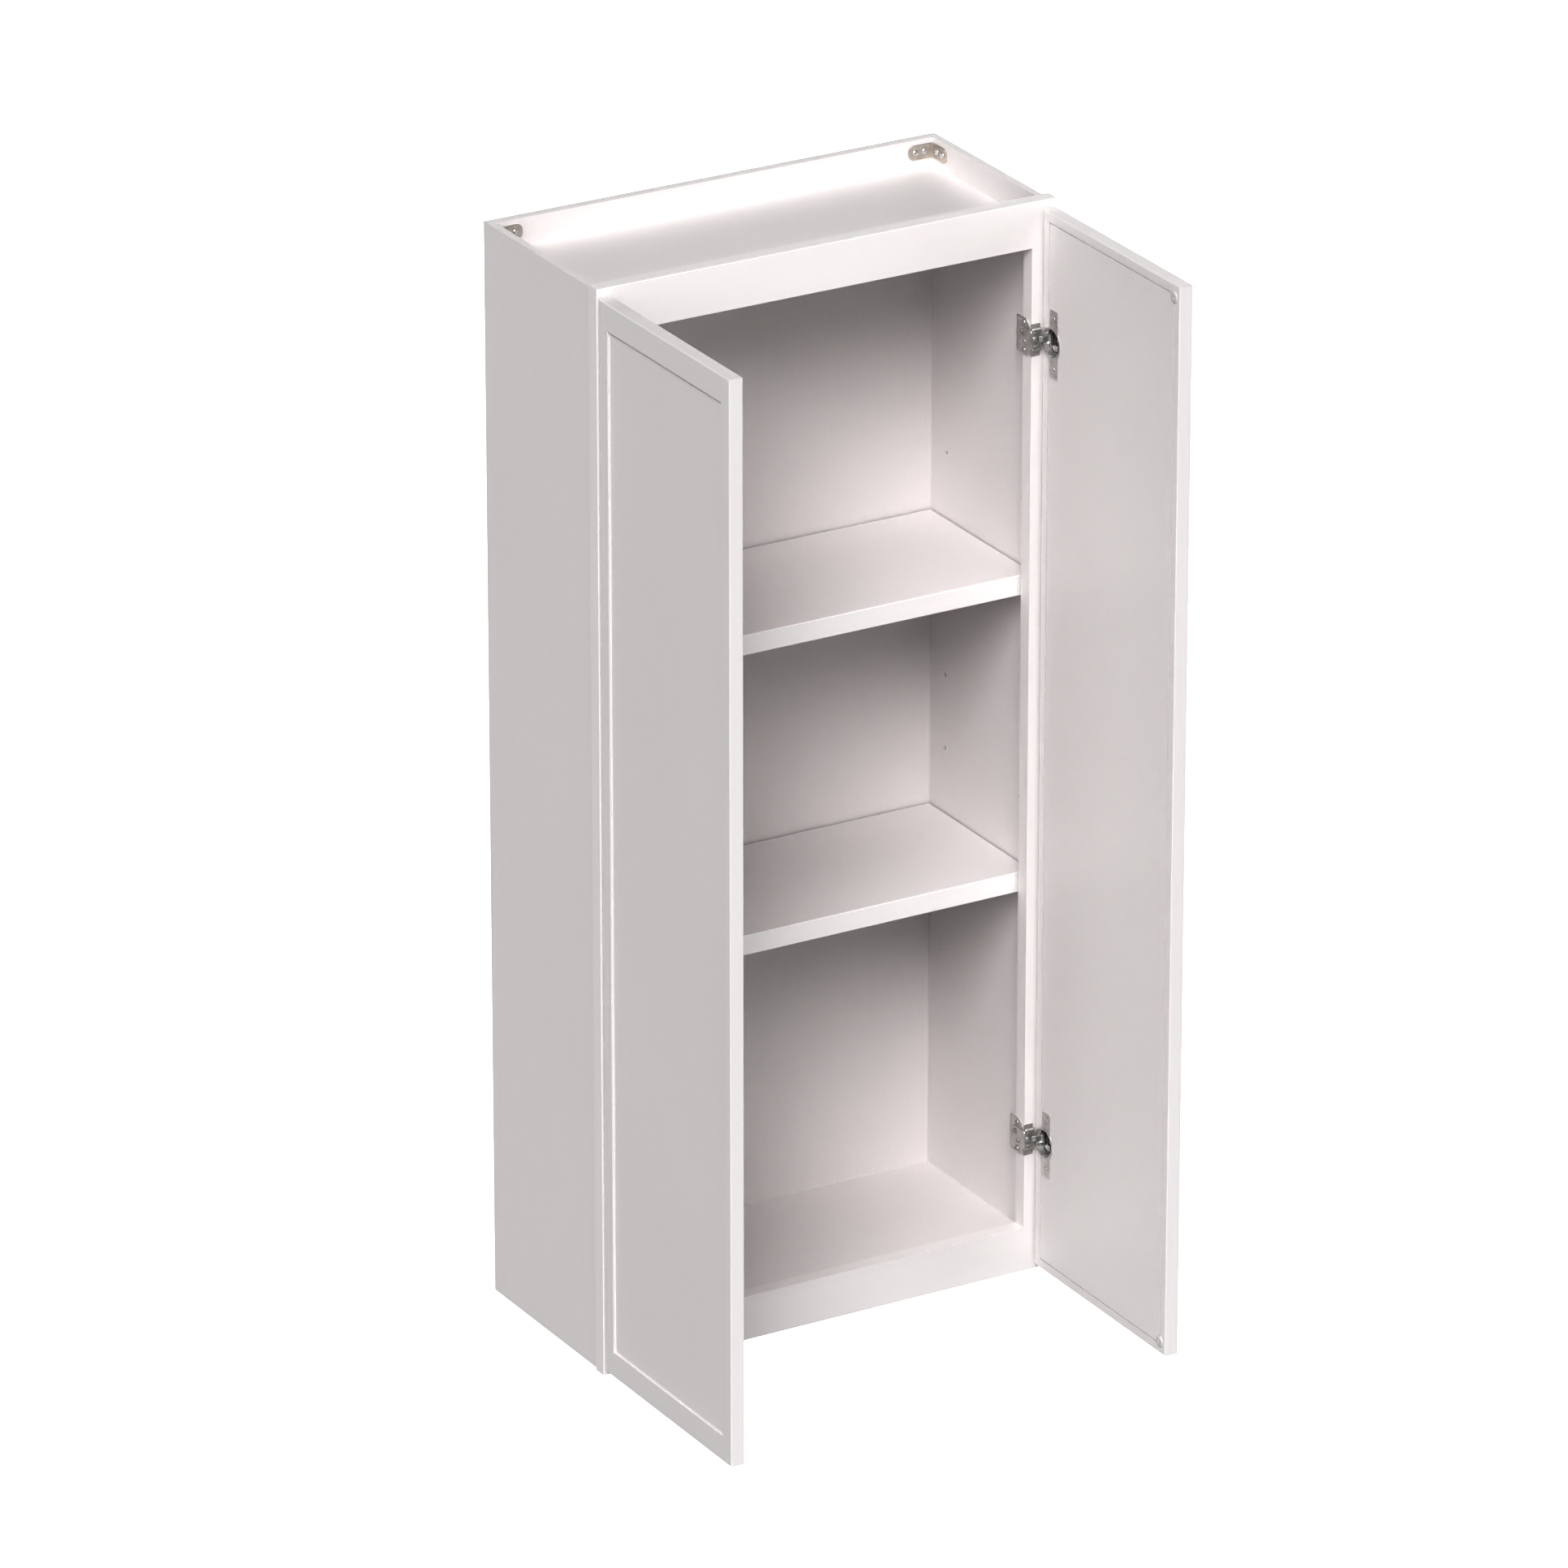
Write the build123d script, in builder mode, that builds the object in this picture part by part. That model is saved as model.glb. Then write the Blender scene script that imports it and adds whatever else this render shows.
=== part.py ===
from build123d import *
import os

os.makedirs("parts", exist_ok=True)

# A hanging wall cabinet with two doors, standing open at right angles to the face frame.
# The origin is the middle of the rear face, which lies against the wall. +Y points into
# the wall, the doors are on the -Y side, and +X is to the right of a person facing it.

# Overall size of the box and its face frame
width = 609.6
height = 1363.0
depth = 272.0
top = height / 2
bottom = -height / 2
front = -depth

# Face frame: two stiles with two rails between them
frame_thick = 19.0
stile_width = 33.0
rail_height = 57.0
frame_rear = front + frame_thick
edge_round = 1.2

# Box boards. The frame stands proud of the sides by the overhang, and the sides and the back
# end a little below the frame's top.
overhang = 3.2
board_top = top - 4.0
board_tall = board_top - bottom
side_thick = 9.5
board_thick = 12.0
back_thick = 12.7
dado = 4.0
inside_x = width / 2 - overhang - side_thick
top_tray = 38.0
bottom_tray = 37.7

# Shelves and the rows of 5 mm holes that carry their supports
shelf_thick = 25.4
shelf_end_gap = 1.7
shelf_front = front + 23.0
shelf_rear = -15.0
peg_radius = 2.5
peg_pitch = 94.8
first_peg = bottom + 405.4
peg_levels = [first_peg + peg_pitch * step for step in range(7)]
peg_columns = [front + 51.0, -49.0]
peg_hole_deep = 8.0
peg_above_shelf_foot = 14.0
shelves = {"lower": peg_levels[1], "upper": peg_levels[5]}

# Doors: open, each stands forward of the frame with its back towards the middle
door_thick = 18.0
door_width = 296.6
door_bottom = bottom + 7.4
door_top = top - 10.9
door_back_x = width / 2 - 19.0
door_face_x = door_back_x + door_thick
door_gap = 3.0
hinge_edge_y = front - door_gap
free_edge_y = hinge_edge_y - door_width
door_stile = 19.0
door_rail = 32.0
door_border = 11.0
door_lip = 3.2
field_rise = 1.0
field_margin = 3.5
back_groove = 2.0

# Hinges. u runs inwards from the frame's outer edge, v runs forwards from its face.
hinge_levels = {"lower": bottom + 174.0, "upper": bottom + 1194.0}
shut_reveal = 6.4
shut_gap = 2.0
door_inset = width / 2 - door_back_x
pivot_u = (door_inset + shut_gap + shut_reveal - door_gap) / 2
pivot_v = pivot_u + door_gap - shut_reveal
cup_radius = 17.5
cup_wall = 0.8
cup_deep = 12.0
cup_v = door_gap + 2.5 + cup_radius
flange_thick = 1.2
cup_screw_v = 28.0
cup_screw_z = 31.0
pin_radius = 1.25
pin_half = 7.0
barrel_radius = 2.2
barrel_half = 4.3
arm_half = 14.0
arm_near_u = 21.5
bracket_thick = 1.6
bracket_half = 22.5
leg_thick = 1.4
leg_half = 12.0
arm_front_v = 5.5
mount_screw_v = -14.0
mount_screw_z = 17.0

# Looking down on the right-hand end of the frame: x is u and y is v
corner_plan = Plane(origin=(width / 2, front, 0), x_dir=(-1, 0, 0), z_dir=(0, 0, 1))


def save(piece, name):
    """Label the finished piece and write its STEP file."""
    piece.part.label = name
    export_step(piece.part, f"parts/{name}.step")


def inward(u, level):
    """The plane across the hinge at depth u, with v to the right and height up."""
    return Plane(origin=(width / 2 - u, front, level), x_dir=(0, -1, 0), z_dir=(-1, 0, 0))


def across(u, v, z):
    """A place on the right-hand hinge line, turned so that its own Z points inwards."""
    return Location((width / 2 - u, front - v, z), (0, -90, 0))


def pan_screws(spots, shank_radius, shank_long, head_radius, head_tall):
    """Cross-head screws: each head stands on its spot and the shank goes down from it."""
    with Locations(*spots):
        Cylinder(head_radius, head_tall, align=(Align.CENTER, Align.CENTER, Align.MIN))
        Cylinder(shank_radius, shank_long, align=(Align.CENTER, Align.CENTER, Align.MAX))
        for turn in (0, 90):
            with Locations(Location((0, 0, head_tall), (0, 0, turn))):
                Box(1.2 * head_radius, 0.9, head_tall, mode=Mode.SUBTRACT)


# Corner brackets in the top tray, and the places of their screws
bracket_leg = 34.0
bracket_tall = 18.0
bracket_plate = 2.0
bracket_top = board_top - 6.0
bracket_z = bracket_top - bracket_tall / 2
bracket_holes = (12.0, 24.5)
bracket_screw_radius = 1.75
bracket_screw_deep = 7.0
back_face = -back_thick
to_back = [
    Location((inside_x - reach, back_face - bracket_plate, bracket_z), (90, 0, 0))
    for reach in bracket_holes
]
to_side = [
    Location((inside_x - bracket_plate, back_face - reach, bracket_z), (0, -90, 0))
    for reach in bracket_holes
]

# ---------------------------------------------------------------- the box
for side in ("left", "right"):
    # Side board: two dados for the top and the bottom, and two columns of shelf-pin holes
    with BuildPart() as board:
        with BuildSketch(Plane.XY.offset(bottom)):
            with Locations((inside_x, frame_rear - dado)):
                Rectangle(side_thick, -frame_rear + dado, align=(Align.MIN, Align.MIN))
        extrude(amount=board_tall)
        for floor in (top - top_tray - board_thick, bottom + bottom_tray - board_thick):
            with BuildSketch(Plane.XY.offset(floor)):
                with Locations((inside_x, frame_rear)):
                    Rectangle(dado, -frame_rear - back_thick, align=(Align.MIN, Align.MIN))
            extrude(amount=board_thick, mode=Mode.SUBTRACT)
        for column in peg_columns:
            for level in peg_levels:
                with Locations(Location((inside_x, column, level), (0, 90, 0))):
                    Cylinder(
                        peg_radius, peg_hole_deep, mode=Mode.SUBTRACT,
                        align=(Align.CENTER, Align.CENTER, Align.MIN),
                    )
        with Locations(*to_side):
            Cylinder(
                bracket_screw_radius, bracket_screw_deep + bracket_plate, mode=Mode.SUBTRACT,
                align=(Align.CENTER, Align.CENTER, Align.MAX),
            )
        if side == "left":
            mirror(about=Plane.YZ, mode=Mode.REPLACE)
    save(board, f"side_{side}")

for name, level in (
    ("top_panel", top - top_tray - board_thick),
    ("bottom_panel", bottom + bottom_tray - board_thick),
):
    # Top and bottom boards: their ends are let into the sides
    with BuildPart() as board:
        with BuildSketch(Plane.XY.offset(level)):
            with Locations((0, frame_rear)):
                Rectangle(
                    2 * (inside_x + dado), -frame_rear - back_thick,
                    align=(Align.CENTER, Align.MIN),
                )
        extrude(amount=board_thick)
    save(board, name)

with BuildPart() as back_panel:
    with BuildSketch(Plane.XY.offset(bottom)):
        Rectangle(2 * inside_x, back_thick, align=(Align.CENTER, Align.MAX))
    extrude(amount=board_tall)
    for end in (-1, 1):
        for reach in bracket_holes:
            with Locations(Location((end * (inside_x - reach), back_face, bracket_z), (90, 0, 0))):
                Cylinder(
                    bracket_screw_radius, bracket_screw_deep, mode=Mode.SUBTRACT,
                    align=(Align.CENTER, Align.CENTER, Align.MAX),
                )
save(back_panel, "back_panel")

# ---------------------------------------------------------------- the face frame
dowel_radius = 4.0
dowel_half = 18.0
dowel_spread = 15.0
rail_levels = {"top": top - rail_height / 2, "bottom": bottom + rail_height / 2}
rail_end_x = width / 2 - stile_width
dowel_y = front + frame_thick / 2
dowel_spots = [
    Location((rail_end_x, dowel_y, level + lift), (0, 90, 0))
    for level in rail_levels.values()
    for lift in (-dowel_spread, dowel_spread)
]
mount_screw_radius = 1.7
mount_screw_long = 15.0
mount_spots = [
    across(stile_width, mount_screw_v, level + lift)
    for level in hinge_levels.values()
    for lift in (-mount_screw_z, mount_screw_z)
]

for side in ("left", "right"):
    # Stile: a groove in its rear holds the side board, and the rails are dowelled to it
    with BuildPart() as stile:
        with BuildSketch(Plane.XY.offset(bottom)):
            with Locations((width / 2, front)):
                Rectangle(stile_width, frame_thick, align=(Align.MAX, Align.MIN))
        extrude(amount=height)
        with BuildSketch(Plane.XY.offset(bottom)):
            with Locations((inside_x, frame_rear)):
                Rectangle(side_thick, dado, align=(Align.MIN, Align.MAX))
        extrude(amount=board_tall, mode=Mode.SUBTRACT)
        outer_edge = stile.edges().filter_by(Axis.Z).group_by(Axis.Y)[0].sort_by(Axis.X)[-1:]
        end_edges = stile.edges().filter_by(Axis.X).group_by(Axis.Y)[0]
        fillet(outer_edge + end_edges, edge_round)
        with Locations(*dowel_spots):
            Cylinder(dowel_radius, 2 * dowel_half, mode=Mode.SUBTRACT)
        with Locations(*mount_spots):
            Cylinder(
                mount_screw_radius, mount_screw_long, mode=Mode.SUBTRACT,
                align=(Align.CENTER, Align.CENTER, Align.MAX),
            )
        if side == "left":
            mirror(about=Plane.YZ, mode=Mode.REPLACE)
    save(stile, f"frame_stile_{side}")

for name, level in rail_levels.items():
    # Rail: fits between the stiles, with two dowel holes in each end
    with BuildPart() as rail:
        with BuildSketch(Plane.XY.offset(level - rail_height / 2)):
            with Locations((0, front)):
                Rectangle(2 * rail_end_x, frame_thick, align=(Align.CENTER, Align.MIN))
        extrude(amount=rail_height)
        outer_edge = rail.edges().filter_by(Axis.X).group_by(Axis.Y)[0].sort_by(Axis.Z)
        fillet(outer_edge[-1] if name == "top" else outer_edge[0], edge_round)
        for lift in (-dowel_spread, dowel_spread):
            for end_x in (-rail_end_x, rail_end_x):
                with Locations(Location((end_x, dowel_y, level + lift), (0, 90, 0))):
                    Cylinder(dowel_radius, 2 * dowel_half, mode=Mode.SUBTRACT)
    save(rail, f"frame_rail_{name}")

with BuildPart() as dowels:
    with Locations(*dowel_spots):
        Cylinder(dowel_radius, 2 * dowel_half)
    mirror(about=Plane.YZ)
save(dowels, "frame_dowels")

# ---------------------------------------------------------------- shelves
support_thick = 1.2
support_width = 11.0
support_reach = 13.0
peg_into_hole = 7.5

for name, peg_level in shelves.items():
    foot = peg_level - peg_above_shelf_foot
    # Shelf board: loose on its four supports, with eased long edges
    with BuildPart() as shelf:
        with BuildSketch(Plane.XY.offset(foot)):
            with Locations((0, shelf_front)):
                Rectangle(
                    2 * (inside_x - shelf_end_gap), shelf_rear - shelf_front,
                    align=(Align.CENTER, Align.MIN),
                )
        extrude(amount=shelf_thick)
        fillet(shelf.edges().filter_by(Axis.X).group_by(Axis.Y)[0], 1.2)
    save(shelf, f"shelf_{name}")

    # Supports: bent steel angles with a peg that plugs into a side
    with BuildPart() as supports:
        for column in peg_columns:
            with BuildSketch(Plane.YZ.offset(inside_x - support_thick)):
                with Locations((column, foot - support_thick)):
                    Rectangle(
                        support_width, peg_above_shelf_foot + support_thick,
                        align=(Align.CENTER, Align.MIN),
                    )
                with Locations((column, peg_level)):
                    Circle(support_width / 2)
            extrude(amount=support_thick)
            with BuildSketch(Plane.XY.offset(foot - support_thick)):
                with Locations((inside_x, column)):
                    RectangleRounded(
                        2 * support_reach, support_width, 3.0, align=Align.CENTER
                    )
                with Locations((inside_x, column)):
                    Rectangle(
                        2 * support_reach, 2 * support_width, mode=Mode.SUBTRACT,
                        align=(Align.MIN, Align.CENTER),
                    )
            extrude(amount=support_thick)
            with Locations(Location((inside_x, column, peg_level), (0, 90, 0))):
                Cylinder(
                    peg_radius, peg_into_hole,
                    align=(Align.CENTER, Align.CENTER, Align.MIN),
                )
        mirror(about=Plane.YZ)
    save(supports, f"shelf_supports_{name}")

# ---------------------------------------------------------------- corner brackets
bracket_head_radius = 3.6
bracket_head_tall = 2.2

for side in ("left", "right"):
    # Angle bracket: one leg on the back board and one on the side, inside the top tray
    with BuildPart() as bracket:
        with BuildSketch(Plane.XY.offset(bracket_top - bracket_tall)):
            with BuildLine():
                Polyline(
                    (inside_x, back_face),
                    (inside_x - bracket_leg, back_face),
                    (inside_x - bracket_leg, back_face - bracket_plate),
                    (inside_x - bracket_plate, back_face - bracket_plate),
                    (inside_x - bracket_plate, back_face - bracket_leg),
                    (inside_x, back_face - bracket_leg),
                    close=True,
                )
            make_face()
        extrude(amount=bracket_tall)
        inner_bend = bracket.edges().filter_by(Axis.Z).sort_by_distance(
            (inside_x - bracket_plate, back_face - bracket_plate, bracket_z)
        )[0]
        fillet(inner_bend, 3.0)
        end_corners = (
            bracket.edges().filter_by(Axis.Y).group_by(Axis.X)[0]
            + bracket.edges().filter_by(Axis.X).group_by(Axis.Y)[0]
        )
        fillet(end_corners, 7.0)
        with Locations(*to_back, *to_side):
            Cylinder(bracket_screw_radius, 3 * bracket_plate, mode=Mode.SUBTRACT)
        if side == "left":
            mirror(about=Plane.YZ, mode=Mode.REPLACE)
    save(bracket, f"corner_bracket_{side}")

    # Pan-head screws: two into the back board and two into the side
    with BuildPart() as screws:
        pan_screws(
            [*to_back, *to_side], bracket_screw_radius, bracket_screw_deep + bracket_plate,
            bracket_head_radius, bracket_head_tall,
        )
        if side == "left":
            mirror(about=Plane.YZ, mode=Mode.REPLACE)
    save(screws, f"corner_bracket_screws_{side}")

# ---------------------------------------------------------------- doors
stile_inner_y = (hinge_edge_y - door_stile, free_edge_y + door_stile)
border_y = (hinge_edge_y - door_border, free_edge_y + door_border)
panel_face_x = door_face_x - door_lip
door_height = door_top - door_bottom
cup_spots = [across(door_inset, cup_v, level) for level in hinge_levels.values()]
cup_screw_radius = 1.7
cup_screw_long = 11.0
cup_screw_spots = [
    across(door_inset + flange_thick, cup_screw_v, level + lift)
    for level in hinge_levels.values()
    for lift in (-cup_screw_z, cup_screw_z)
]
bumper_radius = 7.0
bumper_tall = 1.7
bumper_v = -free_edge_y - 11.0
bumper_z = (door_bottom + 15.2, door_top - 15.2)

for side in ("left", "right"):
    for name, edge_y, lip_y, body_y in (
        ("hinge", hinge_edge_y, stile_inner_y[0], border_y[0]),
        ("free", free_edge_y, stile_inner_y[1], border_y[1]),
    ):
        # Door stile: a deep outer body with a thin front lip that covers the panel's edge
        with BuildPart() as door_piece:
            with BuildSketch(Plane.XY.offset(door_bottom)):
                with BuildLine():
                    Polyline(
                        (door_back_x, edge_y),
                        (door_face_x, edge_y),
                        (door_face_x, lip_y),
                        (panel_face_x, lip_y),
                        (panel_face_x, body_y),
                        (door_back_x, body_y),
                        close=True,
                    )
                make_face()
            extrude(amount=door_height)
            outer = 0 if name == "free" else -1
            long_edges = door_piece.edges().filter_by(Axis.Z).group_by(Axis.Y)[outer]
            end_edges = door_piece.edges().filter_by(Axis.Y).group_by(Axis.X)
            fillet(long_edges + end_edges[0] + end_edges[-1], edge_round)
            if name == "hinge":
                with Locations(*cup_spots):
                    Cylinder(
                        cup_radius, cup_deep, mode=Mode.SUBTRACT,
                        align=(Align.CENTER, Align.CENTER, Align.MAX),
                    )
            if side == "left":
                mirror(about=Plane.YZ, mode=Mode.REPLACE)
        save(door_piece, f"door_{side}_stile_{name}")

    for name, edge_z, inner_z, body_z in (
        ("top", door_top, door_top - door_rail, door_top - door_border),
        ("bottom", door_bottom, door_bottom + door_rail, door_bottom + door_border),
    ):
        # Door rail: its lip ends at the stiles' lips, its body at the stiles' bodies
        with BuildPart() as door_piece:
            with BuildSketch(Plane.YZ.offset(door_back_x)):
                with BuildLine():
                    Polyline(
                        (border_y[0], edge_z), (border_y[1], edge_z),
                        (border_y[1], body_z), (border_y[0], body_z), close=True,
                    )
                make_face()
            extrude(amount=door_thick - door_lip)
            with BuildSketch(Plane.YZ.offset(panel_face_x)):
                with BuildLine():
                    Polyline(
                        (stile_inner_y[0], edge_z), (stile_inner_y[1], edge_z),
                        (stile_inner_y[1], inner_z), (stile_inner_y[0], inner_z), close=True,
                    )
                make_face()
            extrude(amount=door_lip)
            outer = -1 if name == "top" else 0
            long_edges = door_piece.edges().filter_by(Axis.Y).group_by(Axis.Z)[outer]
            fillet(long_edges.group_by(Axis.X)[0] + long_edges.group_by(Axis.X)[-1], edge_round)
            if side == "left":
                mirror(about=Plane.YZ, mode=Mode.REPLACE)
        save(door_piece, f"door_{side}_rail_{name}")

    # Door panel: flush with the back of the frame inside a narrow groove, and a low
    # raised field on the front inside the lips
    with BuildPart() as panel:
        panel_wide = border_y[0] - border_y[1]
        panel_tall = door_height - 2 * door_border
        panel_y = (border_y[0] + border_y[1]) / 2
        panel_z = (door_top + door_bottom) / 2
        with BuildSketch(Plane.YZ.offset(door_back_x)):
            with Locations((panel_y, panel_z)):
                Rectangle(panel_wide - 2 * back_groove, panel_tall - 2 * back_groove)
        extrude(amount=back_groove)
        with BuildSketch(Plane.YZ.offset(door_back_x + back_groove)):
            with Locations((panel_y, panel_z)):
                Rectangle(panel_wide, panel_tall)
        extrude(amount=door_thick - door_lip - back_groove)
        with BuildSketch(Plane.YZ.offset(panel_face_x)):
            with Locations((panel_y, panel_z)):
                Rectangle(
                    door_width - 2 * (door_stile + field_margin),
                    door_height - 2 * (door_rail + field_margin),
                )
        extrude(amount=field_rise)
        with Locations(*cup_spots):
            Cylinder(
                cup_radius, cup_deep, mode=Mode.SUBTRACT,
                align=(Align.CENTER, Align.CENTER, Align.MAX),
            )
        with Locations(*cup_screw_spots):
            Cylinder(
                cup_screw_radius, cup_screw_long, mode=Mode.SUBTRACT,
                align=(Align.CENTER, Align.CENTER, Align.MAX),
            )
        if side == "left":
            mirror(about=Plane.YZ, mode=Mode.REPLACE)
    save(panel, f"door_{side}_panel")

    # Bumpers: soft discs near the free corners, so that the shut door lands quietly
    with BuildPart() as bumpers:
        with Locations(*[
            Location((door_back_x, -bumper_v, level), (0, -90, 0)) for level in bumper_z
        ]):
            Cylinder(
                bumper_radius, bumper_tall,
                align=(Align.CENTER, Align.CENTER, Align.MIN),
            )
        fillet(bumpers.faces().filter_by(Axis.X).group_by(Axis.X)[0].edges(), 0.7)
        if side == "left":
            mirror(about=Plane.YZ, mode=Mode.REPLACE)
    save(bumpers, f"door_{side}_bumpers")

# ---------------------------------------------------------------- hinges
ear_inner = barrel_half + 0.3
ear_outer = pin_half + 0.2
floor_u = door_inset - cup_deep
cup_floor = 1.0
flange_u = door_inset + flange_thick
flange_bulge = (19.0, 21.5)
flange_start_v = 6.0
wing_v = (19.5, 37.0)
wing_half = 42.0
ear_wide = 4.4
ear_tall = 6.6
countersink_radius = 3.2
screw_head_radius = 3.6
screw_head_tall = 1.9
adjuster_radius = 2.8
adjuster_deep = 1.2
damper_v = 33.6


def arm_screws(level):
    """Places of the depth screw, the cam and the lock screw on the arm of one hinge."""
    box_face = Location((width / 2 - 31.0, front - arm_front_v, level), (90, 0, 0))
    leg_face = stile_width + bracket_thick + leg_thick
    return [box_face, across(leg_face, -10.0, level - 5.0), across(leg_face, -17.5, level + 5.0)]


for side in ("left", "right"):
    for place, level in hinge_levels.items():
        # Bracket: a plate on the inner edge of the stile, its front corners cut away
        with BuildPart() as bracket:
            with BuildSketch(inward(stile_width, level)) as outline:
                with BuildLine():
                    Polyline(
                        (-31, -bracket_half), (-31, bracket_half), (-10, bracket_half),
                        (0, arm_half + 0.6), (0, -arm_half - 4), (-5, -bracket_half), close=True,
                    )
                make_face()
                fillet(outline.vertices(), 1.5)
            extrude(amount=bracket_thick)
            with Locations(*[
                across(stile_width, mount_screw_v, level + lift)
                for lift in (-mount_screw_z, mount_screw_z)
            ]):
                Cylinder(mount_screw_radius, 4 * bracket_thick, mode=Mode.SUBTRACT)
            if side == "left":
                mirror(about=Plane.YZ, mode=Mode.REPLACE)
        save(bracket, f"hinge_{side}_{place}_bracket")

        # Arm: a leg on the bracket, a box over the front of the stile, and a curved neck
        # that reaches over the door's edge into the cup, where its barrel turns on the pin
        leg_u = stile_width + bracket_thick
        with BuildPart() as arm:
            with BuildSketch(inward(leg_u, level)) as outline:
                with Locations((-9.5, 0)):
                    Rectangle(29, 2 * leg_half)
                fillet(outline.vertices().group_by(Axis.X)[0], 4.0)
            extrude(amount=leg_thick)
            with BuildSketch(corner_plan.offset(level - arm_half)):
                with Locations((arm_near_u, 0)):
                    Rectangle(
                        leg_u - arm_near_u, arm_front_v, align=(Align.MIN, Align.MIN)
                    )
            extrude(amount=2 * arm_half)
            with BuildSketch(corner_plan.offset(level - barrel_half)):
                with BuildLine():
                    FilletPolyline(
                        (pivot_u, pivot_v), (22.6, 10.5), (26.5, arm_front_v - 2), radius=2.4
                    )
                trace(line_width=2.0)
                with Locations((pivot_u, pivot_v)):
                    Circle(barrel_radius)
            extrude(amount=2 * barrel_half)
            with BuildSketch(corner_plan.offset(level - barrel_half)):
                with Locations((pivot_u, pivot_v)):
                    Circle(pin_radius + 0.05)
            extrude(amount=2 * barrel_half, mode=Mode.SUBTRACT)
            with Locations(*arm_screws(level)):
                Cylinder(
                    1.5, adjuster_deep, mode=Mode.SUBTRACT,
                    align=(Align.CENTER, Align.CENTER, Align.MAX),
                )
            if side == "left":
                mirror(about=Plane.YZ, mode=Mode.REPLACE)
        save(arm, f"hinge_{side}_{place}_arm")

        # Cup: a pressed steel cup let into the door, with a winged screw plate, two ears
        # that hold the pin, and a window in its wall where the barrel swings
        with BuildPart() as cup:
            with BuildSketch(inward(floor_u, level)):
                with Locations((cup_v, 0)):
                    Circle(cup_radius)
            extrude(amount=cup_deep)
            with BuildSketch(inward(door_inset, level)):
                with Locations((cup_v, 0)):
                    Ellipse(*flange_bulge)
                with Locations((flange_start_v, 0)):
                    Rectangle(
                        2 * cup_radius, 2 * cup_radius, mode=Mode.SUBTRACT,
                        align=(Align.MAX, Align.CENTER),
                    )
                with Locations(((wing_v[0] + wing_v[1]) / 2, 0)):
                    RectangleRounded(wing_v[1] - wing_v[0], 2 * wing_half, 2.0)
            extrude(amount=flange_thick)
            with BuildSketch(inward(floor_u + cup_floor, level)):
                with Locations((cup_v, 0)):
                    Circle(cup_radius - cup_wall)
            extrude(amount=cup_deep + flange_thick, mode=Mode.SUBTRACT)
            with BuildSketch(inward(floor_u + cup_floor, level)):
                with Locations((cup_v - cup_radius, 0)):
                    Rectangle(9.0, 2 * ear_inner)
            extrude(amount=cup_deep - 2 * cup_floor, mode=Mode.SUBTRACT)
            with BuildSketch(inward(floor_u + cup_floor, level)):
                for ear in (-1, 1):
                    with Locations((pivot_v, ear * (ear_inner + ear_outer) / 2)):
                        Rectangle(ear_wide, ear_outer - ear_inner)
                with Locations((cup_v, 0)):
                    Circle(cup_radius, mode=Mode.INTERSECT)
            extrude(amount=ear_tall)
            with BuildSketch(corner_plan.offset(level - pin_half)):
                with Locations((pivot_u, pivot_v)):
                    Circle(pin_radius)
            extrude(amount=2 * pin_half, mode=Mode.SUBTRACT)
            with Locations(*[
                across(flange_u, cup_screw_v, level + lift) for lift in (-cup_screw_z, cup_screw_z)
            ]):
                Cone(
                    cup_screw_radius, countersink_radius, flange_thick, mode=Mode.SUBTRACT,
                    align=(Align.CENTER, Align.CENTER, Align.MAX),
                )
            if side == "left":
                mirror(about=Plane.YZ, mode=Mode.REPLACE)
        save(cup, f"hinge_{side}_{place}_cup")

        # Pin: a plain steel pin held in the cup's ears
        with BuildPart() as pin:
            with BuildSketch(corner_plan.offset(level - pin_half)):
                with Locations((pivot_u, pivot_v)):
                    Circle(pin_radius)
            extrude(amount=2 * pin_half)
            if side == "left":
                mirror(about=Plane.YZ, mode=Mode.REPLACE)
        save(pin, f"hinge_{side}_{place}_pin")

        # Adjusters: a depth screw on the box, and a cam and a lock screw on the leg
        with BuildPart() as adjusters:
            pan_screws(arm_screws(level), 1.5, adjuster_deep, adjuster_radius, 0.9)
            if side == "left":
                mirror(about=Plane.YZ, mode=Mode.REPLACE)
        save(adjusters, f"hinge_{side}_{place}_adjusters")

    # Wood screws that hold the brackets to the stile
    with BuildPart() as screws:
        pan_screws(
            [
                across(stile_width + bracket_thick, mount_screw_v, level + lift)
                for level in hinge_levels.values()
                for lift in (-mount_screw_z, mount_screw_z)
            ],
            mount_screw_radius, mount_screw_long + bracket_thick,
            screw_head_radius, screw_head_tall,
        )
        if side == "left":
            mirror(about=Plane.YZ, mode=Mode.REPLACE)
    save(screws, f"hinge_mount_screws_{side}")

    # Countersunk screws that hold the cups' wings to the door panel
    with BuildPart() as screws:
        with Locations(*cup_screw_spots):
            Cone(
                cup_screw_radius, countersink_radius, flange_thick,
                align=(Align.CENTER, Align.CENTER, Align.MAX),
            )
            Cylinder(countersink_radius, 0.3, align=(Align.CENTER, Align.CENTER, Align.MIN))
            with Locations((0, 0, -flange_thick)):
                Cylinder(
                    cup_screw_radius, cup_screw_long - flange_thick,
                    align=(Align.CENTER, Align.CENTER, Align.MAX),
                )
            for turn in (0, 90):
                with Locations(Location((0, 0, 0.3), (0, 0, turn))):
                    Box(3.6, 0.8, 1.6, mode=Mode.SUBTRACT)
        if side == "left":
            mirror(about=Plane.YZ, mode=Mode.REPLACE)
    save(screws, f"hinge_cup_screws_{side}")

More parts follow.
